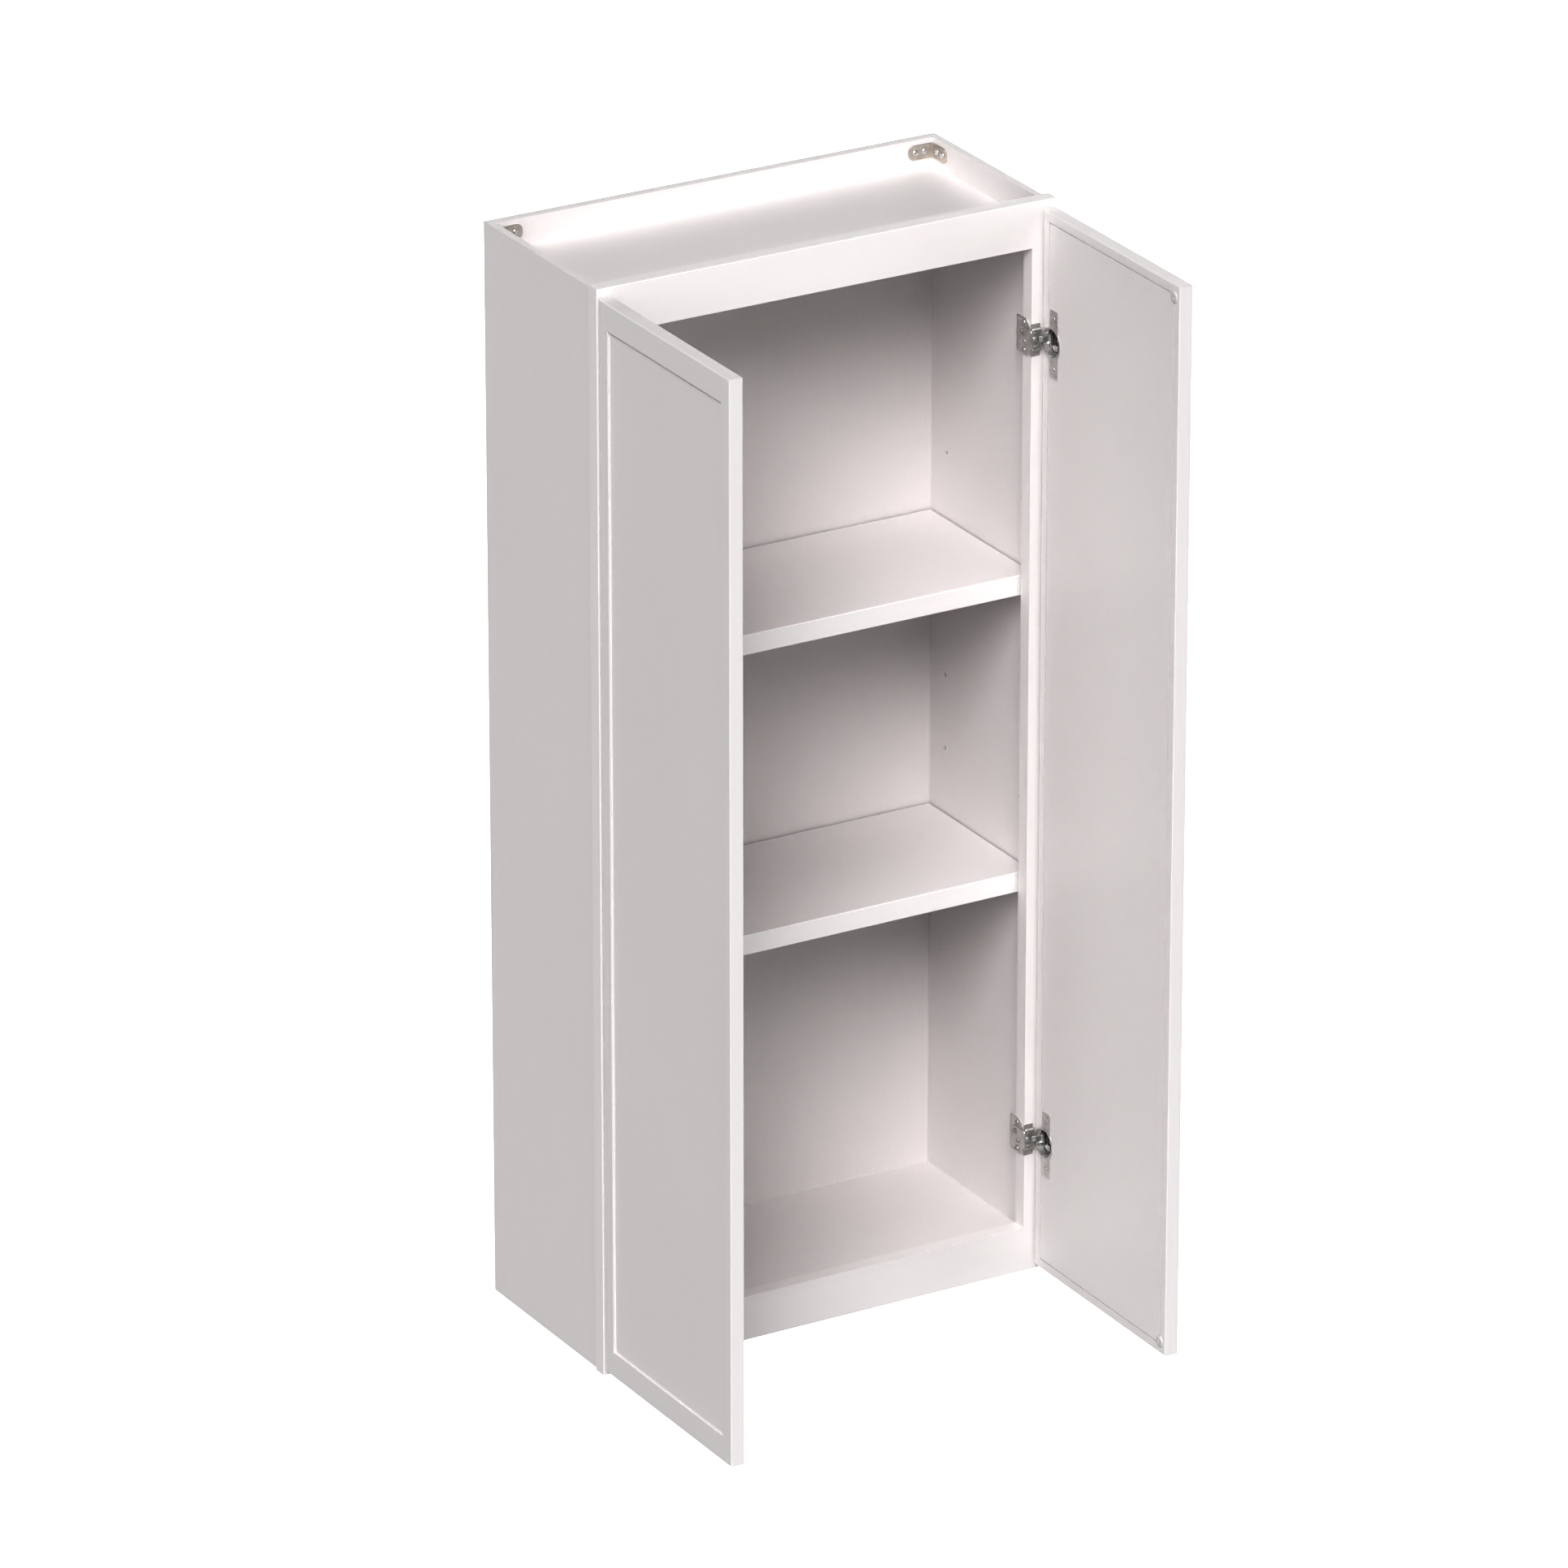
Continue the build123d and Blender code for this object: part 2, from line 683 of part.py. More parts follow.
    # Dampers: a dark plastic cylinder housing in each cup, clear of the arm's path
    with BuildPart() as dampers:
        for level in hinge_levels.values():
            with BuildSketch(inward(floor_u + cup_floor, level)):
                with Locations((damper_v, 0)):
                    Rectangle(cup_radius, 22, align=(Align.MIN, Align.CENTER))
                with Locations((cup_v, 0)):
                    Circle(cup_radius - cup_wall - 0.2, mode=Mode.INTERSECT)
            extrude(amount=cup_deep - cup_floor - 0.8)
            with BuildSketch(inward(floor_u + cup_floor, level)):
                with Locations((14.0, 0)):
                    Rectangle(damper_v - 14.0, 16, align=(Align.MIN, Align.CENTER))
            extrude(amount=1.0)
        if side == "left":
            mirror(about=Plane.YZ, mode=Mode.REPLACE)
    save(dampers, f"hinge_dampers_{side}")
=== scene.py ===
import math

import bmesh
import bpy
import numpy as np
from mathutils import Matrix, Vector


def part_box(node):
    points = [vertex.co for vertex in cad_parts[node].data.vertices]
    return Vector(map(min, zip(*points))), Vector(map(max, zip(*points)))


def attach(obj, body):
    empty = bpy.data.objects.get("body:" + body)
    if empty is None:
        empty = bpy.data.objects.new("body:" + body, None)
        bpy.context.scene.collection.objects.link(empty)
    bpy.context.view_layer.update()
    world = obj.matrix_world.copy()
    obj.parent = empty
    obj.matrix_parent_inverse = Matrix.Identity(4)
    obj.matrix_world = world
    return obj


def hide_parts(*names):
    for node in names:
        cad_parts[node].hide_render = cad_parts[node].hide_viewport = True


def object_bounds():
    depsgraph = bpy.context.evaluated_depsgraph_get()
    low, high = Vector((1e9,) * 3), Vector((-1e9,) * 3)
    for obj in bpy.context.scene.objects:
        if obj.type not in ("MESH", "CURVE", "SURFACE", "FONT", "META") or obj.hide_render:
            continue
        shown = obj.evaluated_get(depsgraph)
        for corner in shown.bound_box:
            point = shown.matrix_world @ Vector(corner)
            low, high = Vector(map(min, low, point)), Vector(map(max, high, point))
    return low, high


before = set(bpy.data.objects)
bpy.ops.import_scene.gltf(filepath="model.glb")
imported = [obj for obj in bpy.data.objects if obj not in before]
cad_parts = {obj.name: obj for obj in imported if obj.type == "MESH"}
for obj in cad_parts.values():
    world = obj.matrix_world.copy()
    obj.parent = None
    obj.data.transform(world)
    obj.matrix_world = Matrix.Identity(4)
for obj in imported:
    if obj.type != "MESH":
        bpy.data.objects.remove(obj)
cad_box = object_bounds()

# ---------------------------------------------------------------- viewing place
# The viewer stands far off, in front of the cabinet and to its left, and looks down into it.
# Turn and drop are the angles of that look, and the aim is a point in the face frame's plane.
view_turn = math.radians(30.08)
view_drop = math.radians(22.89)
view_far = 13.502
view_aim = Vector((-0.0597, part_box("frame_rail_top")[0].y, 0.0228))

look = Vector((
    math.sin(view_turn) * math.cos(view_drop),
    math.cos(view_turn) * math.cos(view_drop),
    -math.sin(view_drop),
))
camera = bpy.data.objects.new("viewer", bpy.data.cameras.new("viewer"))
camera.data.sensor_width = 36.0
camera.data.lens = 266.52
camera.data.clip_end = 100.0
camera.location = view_aim - look * view_far
camera.rotation_mode = "QUATERNION"
camera.rotation_quaternion = look.to_track_quat("-Z", "Y")
bpy.context.collection.objects.link(camera)
bpy.context.scene.camera = camera

# The film is a little contrasty: shown tones are the seen ones raised to this power.
film_contrast = 2.0
bpy.context.scene.view_settings.view_transform = "Standard"
bpy.context.scene.view_settings.gamma = 1.0 / film_contrast

# ---------------------------------------------------------------- studio
# Large soft lamps all round, the strongest in front, to the left and above, and one low behind
# on the right. A weak glow comes up from below. The floor lies as far down as it would under a
# wall cabinet and, far out, curves up into a pale backdrop. Both are only seen: they throw no
# light back into the shelves.
hung_above_floor = 1.37
backdrop_radius = 40.0
backdrop_glow = 1.1
lamp_size = 30.0
lamps = (
    # turn to the left of the front, height above the horizon, strength
    (35.0, 40.0, 2.31),
    (72.0, 60.0, 0.40),
    (60.0, 20.0, 0.36),
    (65.0, 2.0, 0.23),
    (35.0, 12.0, 0.16),
    (-5.0, 72.0, 0.30),
    (-35.0, 5.0, 0.47),
    (-65.0, 20.0, 0.17),
    (-135.0, 2.0, 1.60),
)
glow_from_below = 0.48
glow_from_above = 0.18
glow_fade = 0.15

world = bpy.data.worlds.new("studio")
world.use_nodes = True
sky = world.node_tree
direction = sky.nodes.new("ShaderNodeTexCoord")
parts = sky.nodes.new("ShaderNodeSeparateXYZ")
below = sky.nodes.new("ShaderNodeMapRange")
below.inputs["From Min"].default_value = glow_fade
below.inputs["From Max"].default_value = -glow_fade
below.inputs["To Min"].default_value = glow_from_above
below.inputs["To Max"].default_value = glow_from_below
sky.links.new(direction.outputs["Generated"], parts.inputs[0])
sky.links.new(parts.outputs["Z"], below.inputs["Value"])
sky.links.new(below.outputs[0], sky.nodes["Background"].inputs["Strength"])
sky.nodes["Background"].inputs["Color"].default_value = (1.0, 1.0, 1.0, 1.0)
bpy.context.scene.world = world

for number, (turn, height, strength) in enumerate(lamps):
    lamp = bpy.data.objects.new(f"lamp_{number}", bpy.data.lights.new(f"lamp_{number}", "SUN"))
    lamp.data.angle = math.radians(lamp_size)
    lamp.data.energy = strength
    lamp.rotation_euler = (math.radians(90 - height), 0.0, math.radians(-turn))
    bpy.context.collection.objects.link(lamp)

floor_level = cad_box[0].z - hung_above_floor
# A flat disc, then a quarter of a circle up to a dome: rings of points round the cabinet
sweep = np.linspace(0.0, math.pi / 2, 24)
reach = np.concatenate([[0.01, 0.5], np.cos(sweep)]) * backdrop_radius
lift = np.concatenate([[0.0, 0.0], np.sin(sweep)]) * backdrop_radius
around = np.linspace(0.0, 2.0 * math.pi, 64, endpoint=False)
rings = np.stack([
    reach[:, None] * np.cos(around), reach[:, None] * np.sin(around),
    np.broadcast_to(floor_level + lift[:, None], (len(reach), len(around))),
], axis=-1)
index = np.arange(rings.shape[0] * rings.shape[1]).reshape(rings.shape[:2])
onward = np.roll(index, -1, axis=1)
faces = np.stack([index[:-1], onward[:-1], onward[1:], index[1:]], axis=-1).reshape(-1, 4)
floor_mesh = bpy.data.meshes.new("floor")
floor_mesh.from_pydata(rings.reshape(-1, 3).tolist(), [], [index[0].tolist()] + faces.tolist())
floor = bpy.data.objects.new("floor", floor_mesh)
floor.visible_diffuse = False
floor.visible_glossy = False
floor.visible_shadow = False
bpy.context.collection.objects.link(floor)
floor_finish = bpy.data.materials.new("floor")
floor_finish.use_nodes = True
floor_shader = floor_finish.node_tree.nodes["Principled BSDF"]
floor_shader.inputs["Base Color"].default_value = (0.9, 0.9, 0.9, 1.0)
floor_shader.inputs["Emission Color"].default_value = (1.0, 1.0, 1.0, 1.0)
floor_shader.inputs["Emission Strength"].default_value = backdrop_glow
floor_mesh.materials.append(floor_finish)

# ---------------------------------------------------------------- box boards
# Sides, top, bottom and back are boards with a hard white coat. The coat is a little flatter
# than the doors' paint, and a very faint trace of the board's fibres shows through it.


class Reading:
    """One output of a shader node. Python arithmetic on readings adds Math nodes."""

    def __init__(self, finish, socket):
        self.finish = finish
        self.socket = socket

    def joined(self, operation, *values):
        """The Math node that does this operation on the values, in order."""
        return self.finish.node("Math", {"operation": operation}, dict(enumerate(values)))

    def __add__(self, other):
        return self.joined("ADD", self, other)

    def __mul__(self, other):
        return self.joined("MULTIPLY", self, other)

    __radd__ = __add__
    __rmul__ = __mul__


class Finish:
    """A material that is built up from nodes. Constant sockets are given by name at the start."""

    def __init__(self, name, **constants):
        self.material = bpy.data.materials.new(name)
        self.material.use_nodes = True
        self.tree = self.material.node_tree
        self.shader = self.tree.nodes["Principled BSDF"]
        self.surface(**constants)

    def node(self, kind, settings=None, sockets=None, output=0):
        """Adds a node: its settings are set first, then its sockets."""
        made = self.tree.nodes.new("ShaderNode" + kind)
        for key, value in (settings or {}).items():
            setattr(made, key, value)
        for key, value in (sockets or {}).items():
            self.feed(made.inputs[key], value)
        return Reading(self, made.outputs[output])

    def feed(self, socket, value):
        """Links a reading to a socket, or sets the socket to a plain value."""
        if isinstance(value, Reading):
            self.tree.links.new(value.socket, socket)
        else:
            socket.default_value = value

    def surface(self, **sockets):
        """Feeds the shader's own sockets, named in small letters with underscores."""
        for name, value in sockets.items():
            words = name.replace("_", " ").title().replace("Ior", "IOR")
            self.feed(self.shader.inputs[words], value)

    def place(self, stretch=(1.0, 1.0, 1.0)):
        """Object coordinates, stretched for a pattern that runs one way."""
        at = self.node("TexCoord", output=3)
        return self.node("Mapping", {"vector_type": "POINT"}, {"Vector": at, "Scale": stretch})

    def noise(self, place, scale, detail=2.0, roughness=0.5):
        """Noise from 0 to 1 at so many blotches a metre."""
        return self.node(
            "TexNoise", {},
            {"Vector": place, "Scale": scale, "Detail": detail, "Roughness": roughness},
        )

    def span(self, value, low, high):
        """The value's stretch from low to high, spread from 0 to 1 and clipped there."""
        return self.node(
            "MapRange", {"interpolation_type": "SMOOTHSTEP"},
            {"Value": value, "From Min": low, "From Max": high},
        )

    def blend(self, factor, first, second):
        """The first colour at factor 0 and the second at factor 1."""
        colours = {6: first, 7: second}
        for key, value in colours.items():
            if not isinstance(value, Reading):
                colours[key] = (*value, 1.0)
        return self.node("Mix", {"data_type": "RGBA"}, {0: factor, **colours}, output=2)

    def bump(self, height, distance):
        """The normal of a surface raised by height times distance, in metres."""
        return self.node("Bump", {}, {"Height": height, "Distance": distance})


def coated(name, light, dark, roughness, peel, fibre, fibre_share, lit_front=None):
    """A sprayed white coat: cloudy colour, orange-peel bump, and fibres stretched one way. A lit front
    is a depth and a colour: whatever lies in front of the depth has that colour, as a painted
    highlight."""
    finish = Finish(name, specular_ior_level=0.4)
    clouds = finish.noise(finish.place(), 4.0, 3.0)
    fibres = finish.noise(finish.place(fibre), 60.0, 4.0, 0.6)
    drops = finish.noise(finish.place(), 700.0, 2.0)
    mottle = clouds * (1.0 - fibre_share) + fibres * fibre_share
    colour = finish.blend(finish.span(mottle, 0.3, 0.7), light, dark)
    # Painted light: whatever lies in front of the depth is painted whiter, as a lit front edge.
    if lit_front:
        depth, lit_front_colour = lit_front
        fade = 0.0002
        y = finish.node("SeparateXYZ", {}, {"Vector": finish.place()}, output=1)
        colour = finish.blend(finish.span(y, depth, depth + fade), lit_front_colour, colour)
    finish.surface(
        base_color=colour,
        roughness=roughness + clouds * 0.05 + drops * 0.06,
        normal=finish.bump(drops * (1.0 - fibre_share) + fibres * fibre_share, peel),
    )
    return finish.material


def dress(material, *nodes):
    """Gives nodes of the frame their material."""
    for node in nodes:
        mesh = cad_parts[node].data
        mesh.materials.clear()
        mesh.materials.append(material)


board_light = (0.850, 0.828, 0.827)
board_dark = (0.840, 0.817, 0.816)
upright_board = coated("board_upright", board_light, board_dark, 0.44, 0.00005, (6, 6, 0.3), 0.45)
level_board = coated("board_level", board_light, board_dark, 0.44, 0.00005, (0.3, 6, 6), 0.45)
dress(upright_board, "side_left", "side_right", "back_panel")
dress(level_board, "top_panel", "bottom_panel")

# ---------------------------------------------------------------- face frame
# Solid wood stiles and rails are glued on beech dowels, sanded flush and sprayed satin white
# as one piece, so that the joints don't show. The dowels are fluted to let the glue out.
# The frame's white is mixed lighter than the doors' and the boards': painted light, standing for the
# lamps falling on the front faces.
brightened_pale_paint = (0.880, 0.860, 0.858)
brightened_darker_paint = (0.871, 0.850, 0.848)
brightened_upright_coat = coated("coat_upright_brightened", brightened_pale_paint, brightened_darker_paint, 0.36, 0.00004, (8, 8, 0.4), 0.2)
brightened_level_coat = coated("coat_level_brightened", brightened_pale_paint, brightened_darker_paint, 0.36, 0.00004, (0.4, 8, 8), 0.2)
dress(brightened_upright_coat, "frame_stile_left", "frame_stile_right")
dress(brightened_level_coat, "frame_rail_top", "frame_rail_bottom")

mm = 0.001
dowel_radius = 4.0 * mm
dowel_half = 18.0 * mm
dowel_spread = 15.0 * mm
dowel_flutes = 12


def shell(rings):
    """A closed skin through rings of points. The first and last rings are drawn together to
    their middles, which closes the two ends."""
    rings = np.asarray(rings, float)
    around = rings.shape[1]
    tips = rings[[0, -1]].mean(axis=1, keepdims=True).repeat(around, axis=1)
    points = np.concatenate([tips[:1], rings, tips[1:]])
    row, column = np.meshgrid(np.arange(len(points) - 1), np.arange(around), indexing="ij")
    after = (column + 1) % around
    corners = (row, column), (row, after), (row + 1, after), (row + 1, column)
    faces = np.stack([r * around + c for r, c in corners], axis=-1)
    return points.reshape(-1, 3), faces.reshape(-1, 4)


crease = math.radians(38)


def piece(name, shells, material, body, slot, *nodes):
    """One object made of closed shells. Doubles are merged, faces turned outwards and gentle
    curves shaded smooth. It rides on the body and stands for the nodes that are named last."""
    starts = np.cumsum([0] + [len(points) for points, _ in shells[:-1]])
    points = np.concatenate([points for points, _ in shells])
    faces = np.concatenate([faces + start for (_, faces), start in zip(shells, starts)])
    mesh = bpy.data.meshes.new(name)
    mesh.from_pydata(points.tolist(), [], faces.tolist())
    skin = bmesh.new()
    skin.from_mesh(mesh)
    bmesh.ops.remove_doubles(skin, verts=skin.verts, dist=0.001 * mm)
    bmesh.ops.recalc_face_normals(skin, faces=skin.faces)
    skin.to_mesh(mesh)
    skin.free()
    mesh.polygons.foreach_set("use_smooth", [True] * len(mesh.polygons))
    mesh.set_sharp_from_angle(angle=crease)
    mesh.materials.append(material)
    made = bpy.data.objects.new(name, mesh)
    bpy.context.collection.objects.link(made)
    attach(made, body)
    if nodes:
        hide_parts(*nodes)


def turned(radii, heights, around=32):
    """Rings of a turned shape: at each height, points at that radius all round. A radius or a
    height may be one number, or one for each point of its ring."""
    turn = np.linspace(0, 2 * np.pi, around, endpoint=False)
    radii = np.array([np.broadcast_to(radius, around) for radius in radii])
    heights = np.array([np.broadcast_to(height, around) for height in heights])
    return np.stack([radii * np.cos(turn), radii * np.sin(turn), heights], axis=-1)


def stood(rings, spot, outward):
    """Rings drawn flat, stood on a spot: their second direction goes up and their third out."""
    upward = (0.0, 0.0, 1.0)
    axes = np.array([np.cross(upward, outward), upward, outward])
    return np.asarray(spot) + np.asarray(rings) @ axes


def beech():
    """Bare beech: pale brown with darker streaks along X and short flecks."""
    finish = Finish("beech", roughness=0.6)
    streaks = finish.noise(finish.place((1.0, 12.0, 12.0)), 90.0, 4.0)
    flecks = finish.noise(finish.place((1.0, 5.0, 5.0)), 700.0, 1.0)
    shade = streaks * 0.7 + finish.span(flecks, 0.6, 0.75) * 0.3
    finish.surface(
        base_color=finish.blend(shade, (0.60, 0.43, 0.27), (0.42, 0.27, 0.15)),
        normal=finish.bump(streaks, 0.00008),
    )
    return finish.material


flute_turn = np.linspace(0, 2 * np.pi, 96, endpoint=False)
flute = 1.0 - 0.06 * np.clip(np.cos(dowel_flutes * flute_turn), 0.0, 1.0)
dowel_rings = turned(
    [dowel_radius * share * flute for share in (0.72, 1.0, 1.0, 0.72)],
    np.array([-1.0, -0.93, 0.93, 1.0]) * dowel_half, around=96,
)
dowels = []
for rail in ("frame_rail_top", "frame_rail_bottom"):
    low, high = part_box(rail)
    for end in (low.x, high.x):
        for lift in (-dowel_spread, dowel_spread):
            spot = (end, (low.y + high.y) / 2, (low.z + high.z) / 2 + lift)
            dowels.append(shell(stood(dowel_rings, spot, (1.0, 0.0, 0.0))))
piece("beech_dowels", dowels, beech(), "cabinet", "dowel_beech", "frame_dowels")

# ---------------------------------------------------------------- shelves
# Two thick shelves lie loose on their supports and can be lifted out. They are boards with the
# same white coat, and their long front edges are eased. A strip along those edges is painted
# whiter: painted light, standing for the lamps falling on the fronts.
lit_front_depth = 0.8 * mm
lit_front_white = (0.935, 0.918, 0.917)
lit_front_board = coated("board_lit_front", board_light, board_dark, 0.44, 0.00005, (0.3, 6, 6), 0.45,
                      lit_front=(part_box("shelf_upper")[0].y + lit_front_depth, lit_front_white))
dress(lit_front_board, "shelf_upper", "shelf_lower")

# ---------------------------------------------------------------- shelf supports
# Each shelf lies on four bent strips of zinc-plated steel. An upright leg hangs against the side
# board from a round peg, which plugs into a hole, and a flat leg carries the shelf.


def rounded(corners, radii, spacing, closed=True):
    """Points along an outline or a path of straight sides, about a spacing apart. Each corner is
    an arc of its radius that touches both sides. An open path has no arc at its two ends."""
    corners = np.asarray(corners, float)
    before = np.roll(corners, 1, axis=0) - corners
    after = np.roll(corners, -1, axis=0) - corners
    before /= np.linalg.norm(before, axis=1, keepdims=True)
    after /= np.linalg.norm(after, axis=1, keepdims=True)
    arcs = []
    for index, (corner, back, ahead, radius) in enumerate(zip(corners, before, after, radii)):
        if radius == 0 or not closed and index in (0, len(corners) - 1):
            arcs.append(corner[None])
            continue
        half = math.acos(np.clip(back @ ahead, -1.0, 1.0)) / 2
        middle = (back + ahead) / np.linalg.norm(back + ahead)
        centre = corner + middle * radius / math.sin(half)
        start = corner + back * radius / math.tan(half) - centre
        end = corner + ahead * radius / math.tan(half) - centre
        sweep = math.pi - 2 * half
        share = np.linspace(0.0, sweep, max(3, int(radius * sweep / spacing) + 2))[:, None]
        arcs.append(centre + (start * np.sin(sweep - share) + end * np.sin(share)) / math.sin(sweep))
    points = []
    for index, arc in enumerate(arcs):
        points.append(arc)
        if closed or index < len(arcs) - 1:
            gap = arcs[(index + 1) % len(arcs)][0] - arc[-1]
            share = np.linspace(0.0, 1.0, max(2, int(np.linalg.norm(gap) / spacing) + 2))[1:-1, None]
            points.append(arc[-1] + gap * share)
    return np.concatenate(points)


def strip(path, width, thick, end_radius, relief=None, fine=25):
    """A flat bar along a path of points: its back lies on the path and its thickness goes to the
    path's left. Its two ends are rounded where the bar is seen flat, its edges are eased, and
    its front is raised by relief, a function of the way along and the way across."""
    steps = np.linalg.norm(np.diff(path, axis=0), axis=1)
    along = np.concatenate([[0.0], np.cumsum(steps)])
    ahead = np.gradient(path, axis=0)
    ahead /= np.linalg.norm(ahead, axis=1, keepdims=True)
    left = np.stack([-ahead[:, 1], ahead[:, 0]], axis=-1)
    from_end = np.minimum(along, along[-1] - along)[:, None]
    inset = end_radius - np.clip(from_end, 0.0, end_radius)
    half = width / 2 - end_radius + np.sqrt(np.clip(end_radius**2 - inset**2, 0.0, None))
    across = np.concatenate([[-1.0], np.linspace(-1.0, 1.0, fine) * (1 - 0.5 * thick / width), [1.0]])
    level = half * across
    ease = 0.25 * thick
    rise = np.zeros_like(level) if relief is None else relief(along[:, None], level)
    front = thick + rise - ease * (1.0 - np.clip(from_end / ease, 0.0, 1.0))
    front[:, [0, -1]] = thick - ease
    back = np.zeros_like(level)
    back[:, [0, -1]] = ease
    depth = np.concatenate([front, back[:, ::-1]], axis=1)
    level = np.concatenate([level, level[:, ::-1]], axis=1)
    flat = path[:, None] + left[:, None] * depth[..., None]
    return np.concatenate([flat, level[..., None]], axis=-1)


def plated(name, colour, stain, roughness, grain=(1.0, 1.0, 1.0)):
    """Plated pressed steel: fine rolling lines, faint stains and small scuffs in the shine."""
    finish = Finish(name, metallic=1.0)
    lines = finish.noise(finish.place(grain), 900.0, 3.0)
    stains = finish.noise(finish.place(), 120.0, 4.0, 0.6)
    scuffs = finish.span(finish.noise(finish.place((1.0, 1.0, 0.15)), 1500.0, 2.0), 0.62, 0.7)
    finish.surface(
        base_color=finish.blend(finish.span(stains, 0.35, 0.75), colour, stain),
        roughness=roughness + lines * 0.12 + scuffs * 0.12,
        normal=finish.bump(lines, 0.00001),
    )
    return finish.material


zinc = plated("zinc_plate", (0.86, 0.86, 0.87), (0.76, 0.76, 0.75), 0.26)
support_thick = 1.2 * mm
support_leg = 13.0 * mm
support_tall = 20.5 * mm
support_width = 11.0 * mm
peg_radius = 2.45 * mm
support_path = rounded(
    [(0.0, support_tall), (0.0, 0.0), (support_leg, 0.0)], [0.0, 1.6 * mm, 0.0], 0.4 * mm, closed=False
)
wall_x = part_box("back_panel")[1].x
for shelf in ("upper", "lower"):
    low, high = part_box(f"shelf_supports_{shelf}")
    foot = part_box(f"shelf_{shelf}")[0].z
    shells = []
    for side in (-1.0, 1.0):
        for column in (low.y + support_width / 2, high.y - support_width / 2):
            inwards, rise, sideways = np.moveaxis(strip(
                support_path, support_width, support_thick, 4.5 * mm
            ), -1, 0)
            shells.append(shell(np.stack([
                side * (wall_x - inwards), column + sideways, foot - support_thick + rise
            ], axis=-1)))
            peg = turned(
                np.array([0.9, 1.0, 1.0, 1.45, 1.45, 1.0, 1.0, 0.75]) * peg_radius,
                np.array([-2.0, -1.8, -1.3, -1.2, 0.0, 0.1, 6.6, 7.4]) * mm,
            )
            spot = (side * wall_x, column, high.z - support_width / 2)
            shells.append(shell(stood(peg, spot, (side, 0.0, 0.0))))
    piece(f"shelf_pegs_{shelf}", shells, zinc, "cabinet", "support_steel",
          f"shelf_supports_{shelf}")

# ---------------------------------------------------------------- corner brackets
# A bent plate of satin nickel in each rear corner of the top tray ties the back board to a side.
# Round-headed screws with cross recesses sit in shallow pressed dishes.


def cross_recess(x, y, arm, half_width, depth):
    """How deep a cross is at each place: four arms that narrow outwards, with sloping sides and
    a floor that rises towards the arms' ends."""
    long = np.maximum(np.abs(x), np.abs(y)) / arm
    narrow = np.minimum(np.abs(x), np.abs(y)) / half_width
    side = np.clip((1.2 - 0.4 * long - narrow) / 0.4, 0.0, 1.0)
    end = np.clip((1.0 - long) / 0.15, 0.0, 1.0)
    return depth * side * end * (1.0 - 0.4 * long)


def screw(head, tall, arm, shank, length, crown=3.5, around=64):
    """A head and a threaded shank, with height up from the underside of the head. The head's top
    is a dome whose height falls as the given power of the way out, less a cross recess. The
    shank's radius swells once a turn along a helix, and shrinks to a point at the tip."""
    reach = head * np.linspace(0.04, 1.0, 22) ** 0.85
    turn = np.linspace(0, 2 * np.pi, around, endpoint=False)
    x = reach[:, None] * np.cos(turn)
    y = reach[:, None] * np.sin(turn)
    dome = tall * np.sqrt(np.clip(1.0 - (reach / head) ** crown, 0.03, 1.0))[:, None]
    top = dome - cross_recess(x, y, arm, 0.24 * arm, 0.75 * tall)
    head_rings = turned([*reach, head], [*top, 0.0], around)
    pitch = 1.5 * mm
    depth = np.arange(0.0, length, pitch / 8)
    turn = np.linspace(0, 2 * np.pi, 16, endpoint=False)
    crest = 0.5 + 0.5 * np.cos(2 * np.pi * depth[:, None] / pitch + turn)
    taper = np.clip((length - depth) / (1.8 * shank), 0.05, 1.0)[:, None]
    shank_rings = turned(shank * taper * (0.72 + 0.28 * crest**2), -depth, around=16)
    return head_rings, shank_rings


nickel = plated("satin_nickel", (0.76, 0.735, 0.70), (0.64, 0.61, 0.57), 0.38, (1.0, 1.0, 6.0))
bracket_leg = 34.0 * mm
bracket_tall = 18.0 * mm
bracket_thick = 2.0 * mm
bracket_end = 8.2 * mm
bracket_holes = (12.0 * mm, 24.5 * mm)
bracket_bend = 2.8 * mm
dish_radius = 5.0 * mm
dish_deep = 0.55 * mm
bracket_path = rounded(
    [(0.0, bracket_leg), (0.0, 0.0), (bracket_leg, 0.0)], [0.0, bracket_bend, 0.0], 0.5 * mm,
    closed=False,
)
bracket_long = 2 * bracket_leg - (2 - np.pi / 2) * bracket_bend


def dishes(along, level):
    """Round dishes at the screws: each falls off as a cosine from its middle to its rim."""
    fall = 0.0
    for hole in bracket_holes:
        for middle in (bracket_leg - hole, bracket_long - bracket_leg + hole):
            far = np.hypot(along - middle, level) / dish_radius
            fall = fall - dish_deep * (0.5 + 0.5 * np.cos(np.pi * np.clip(far, 0.0, 1.0)))
    return fall


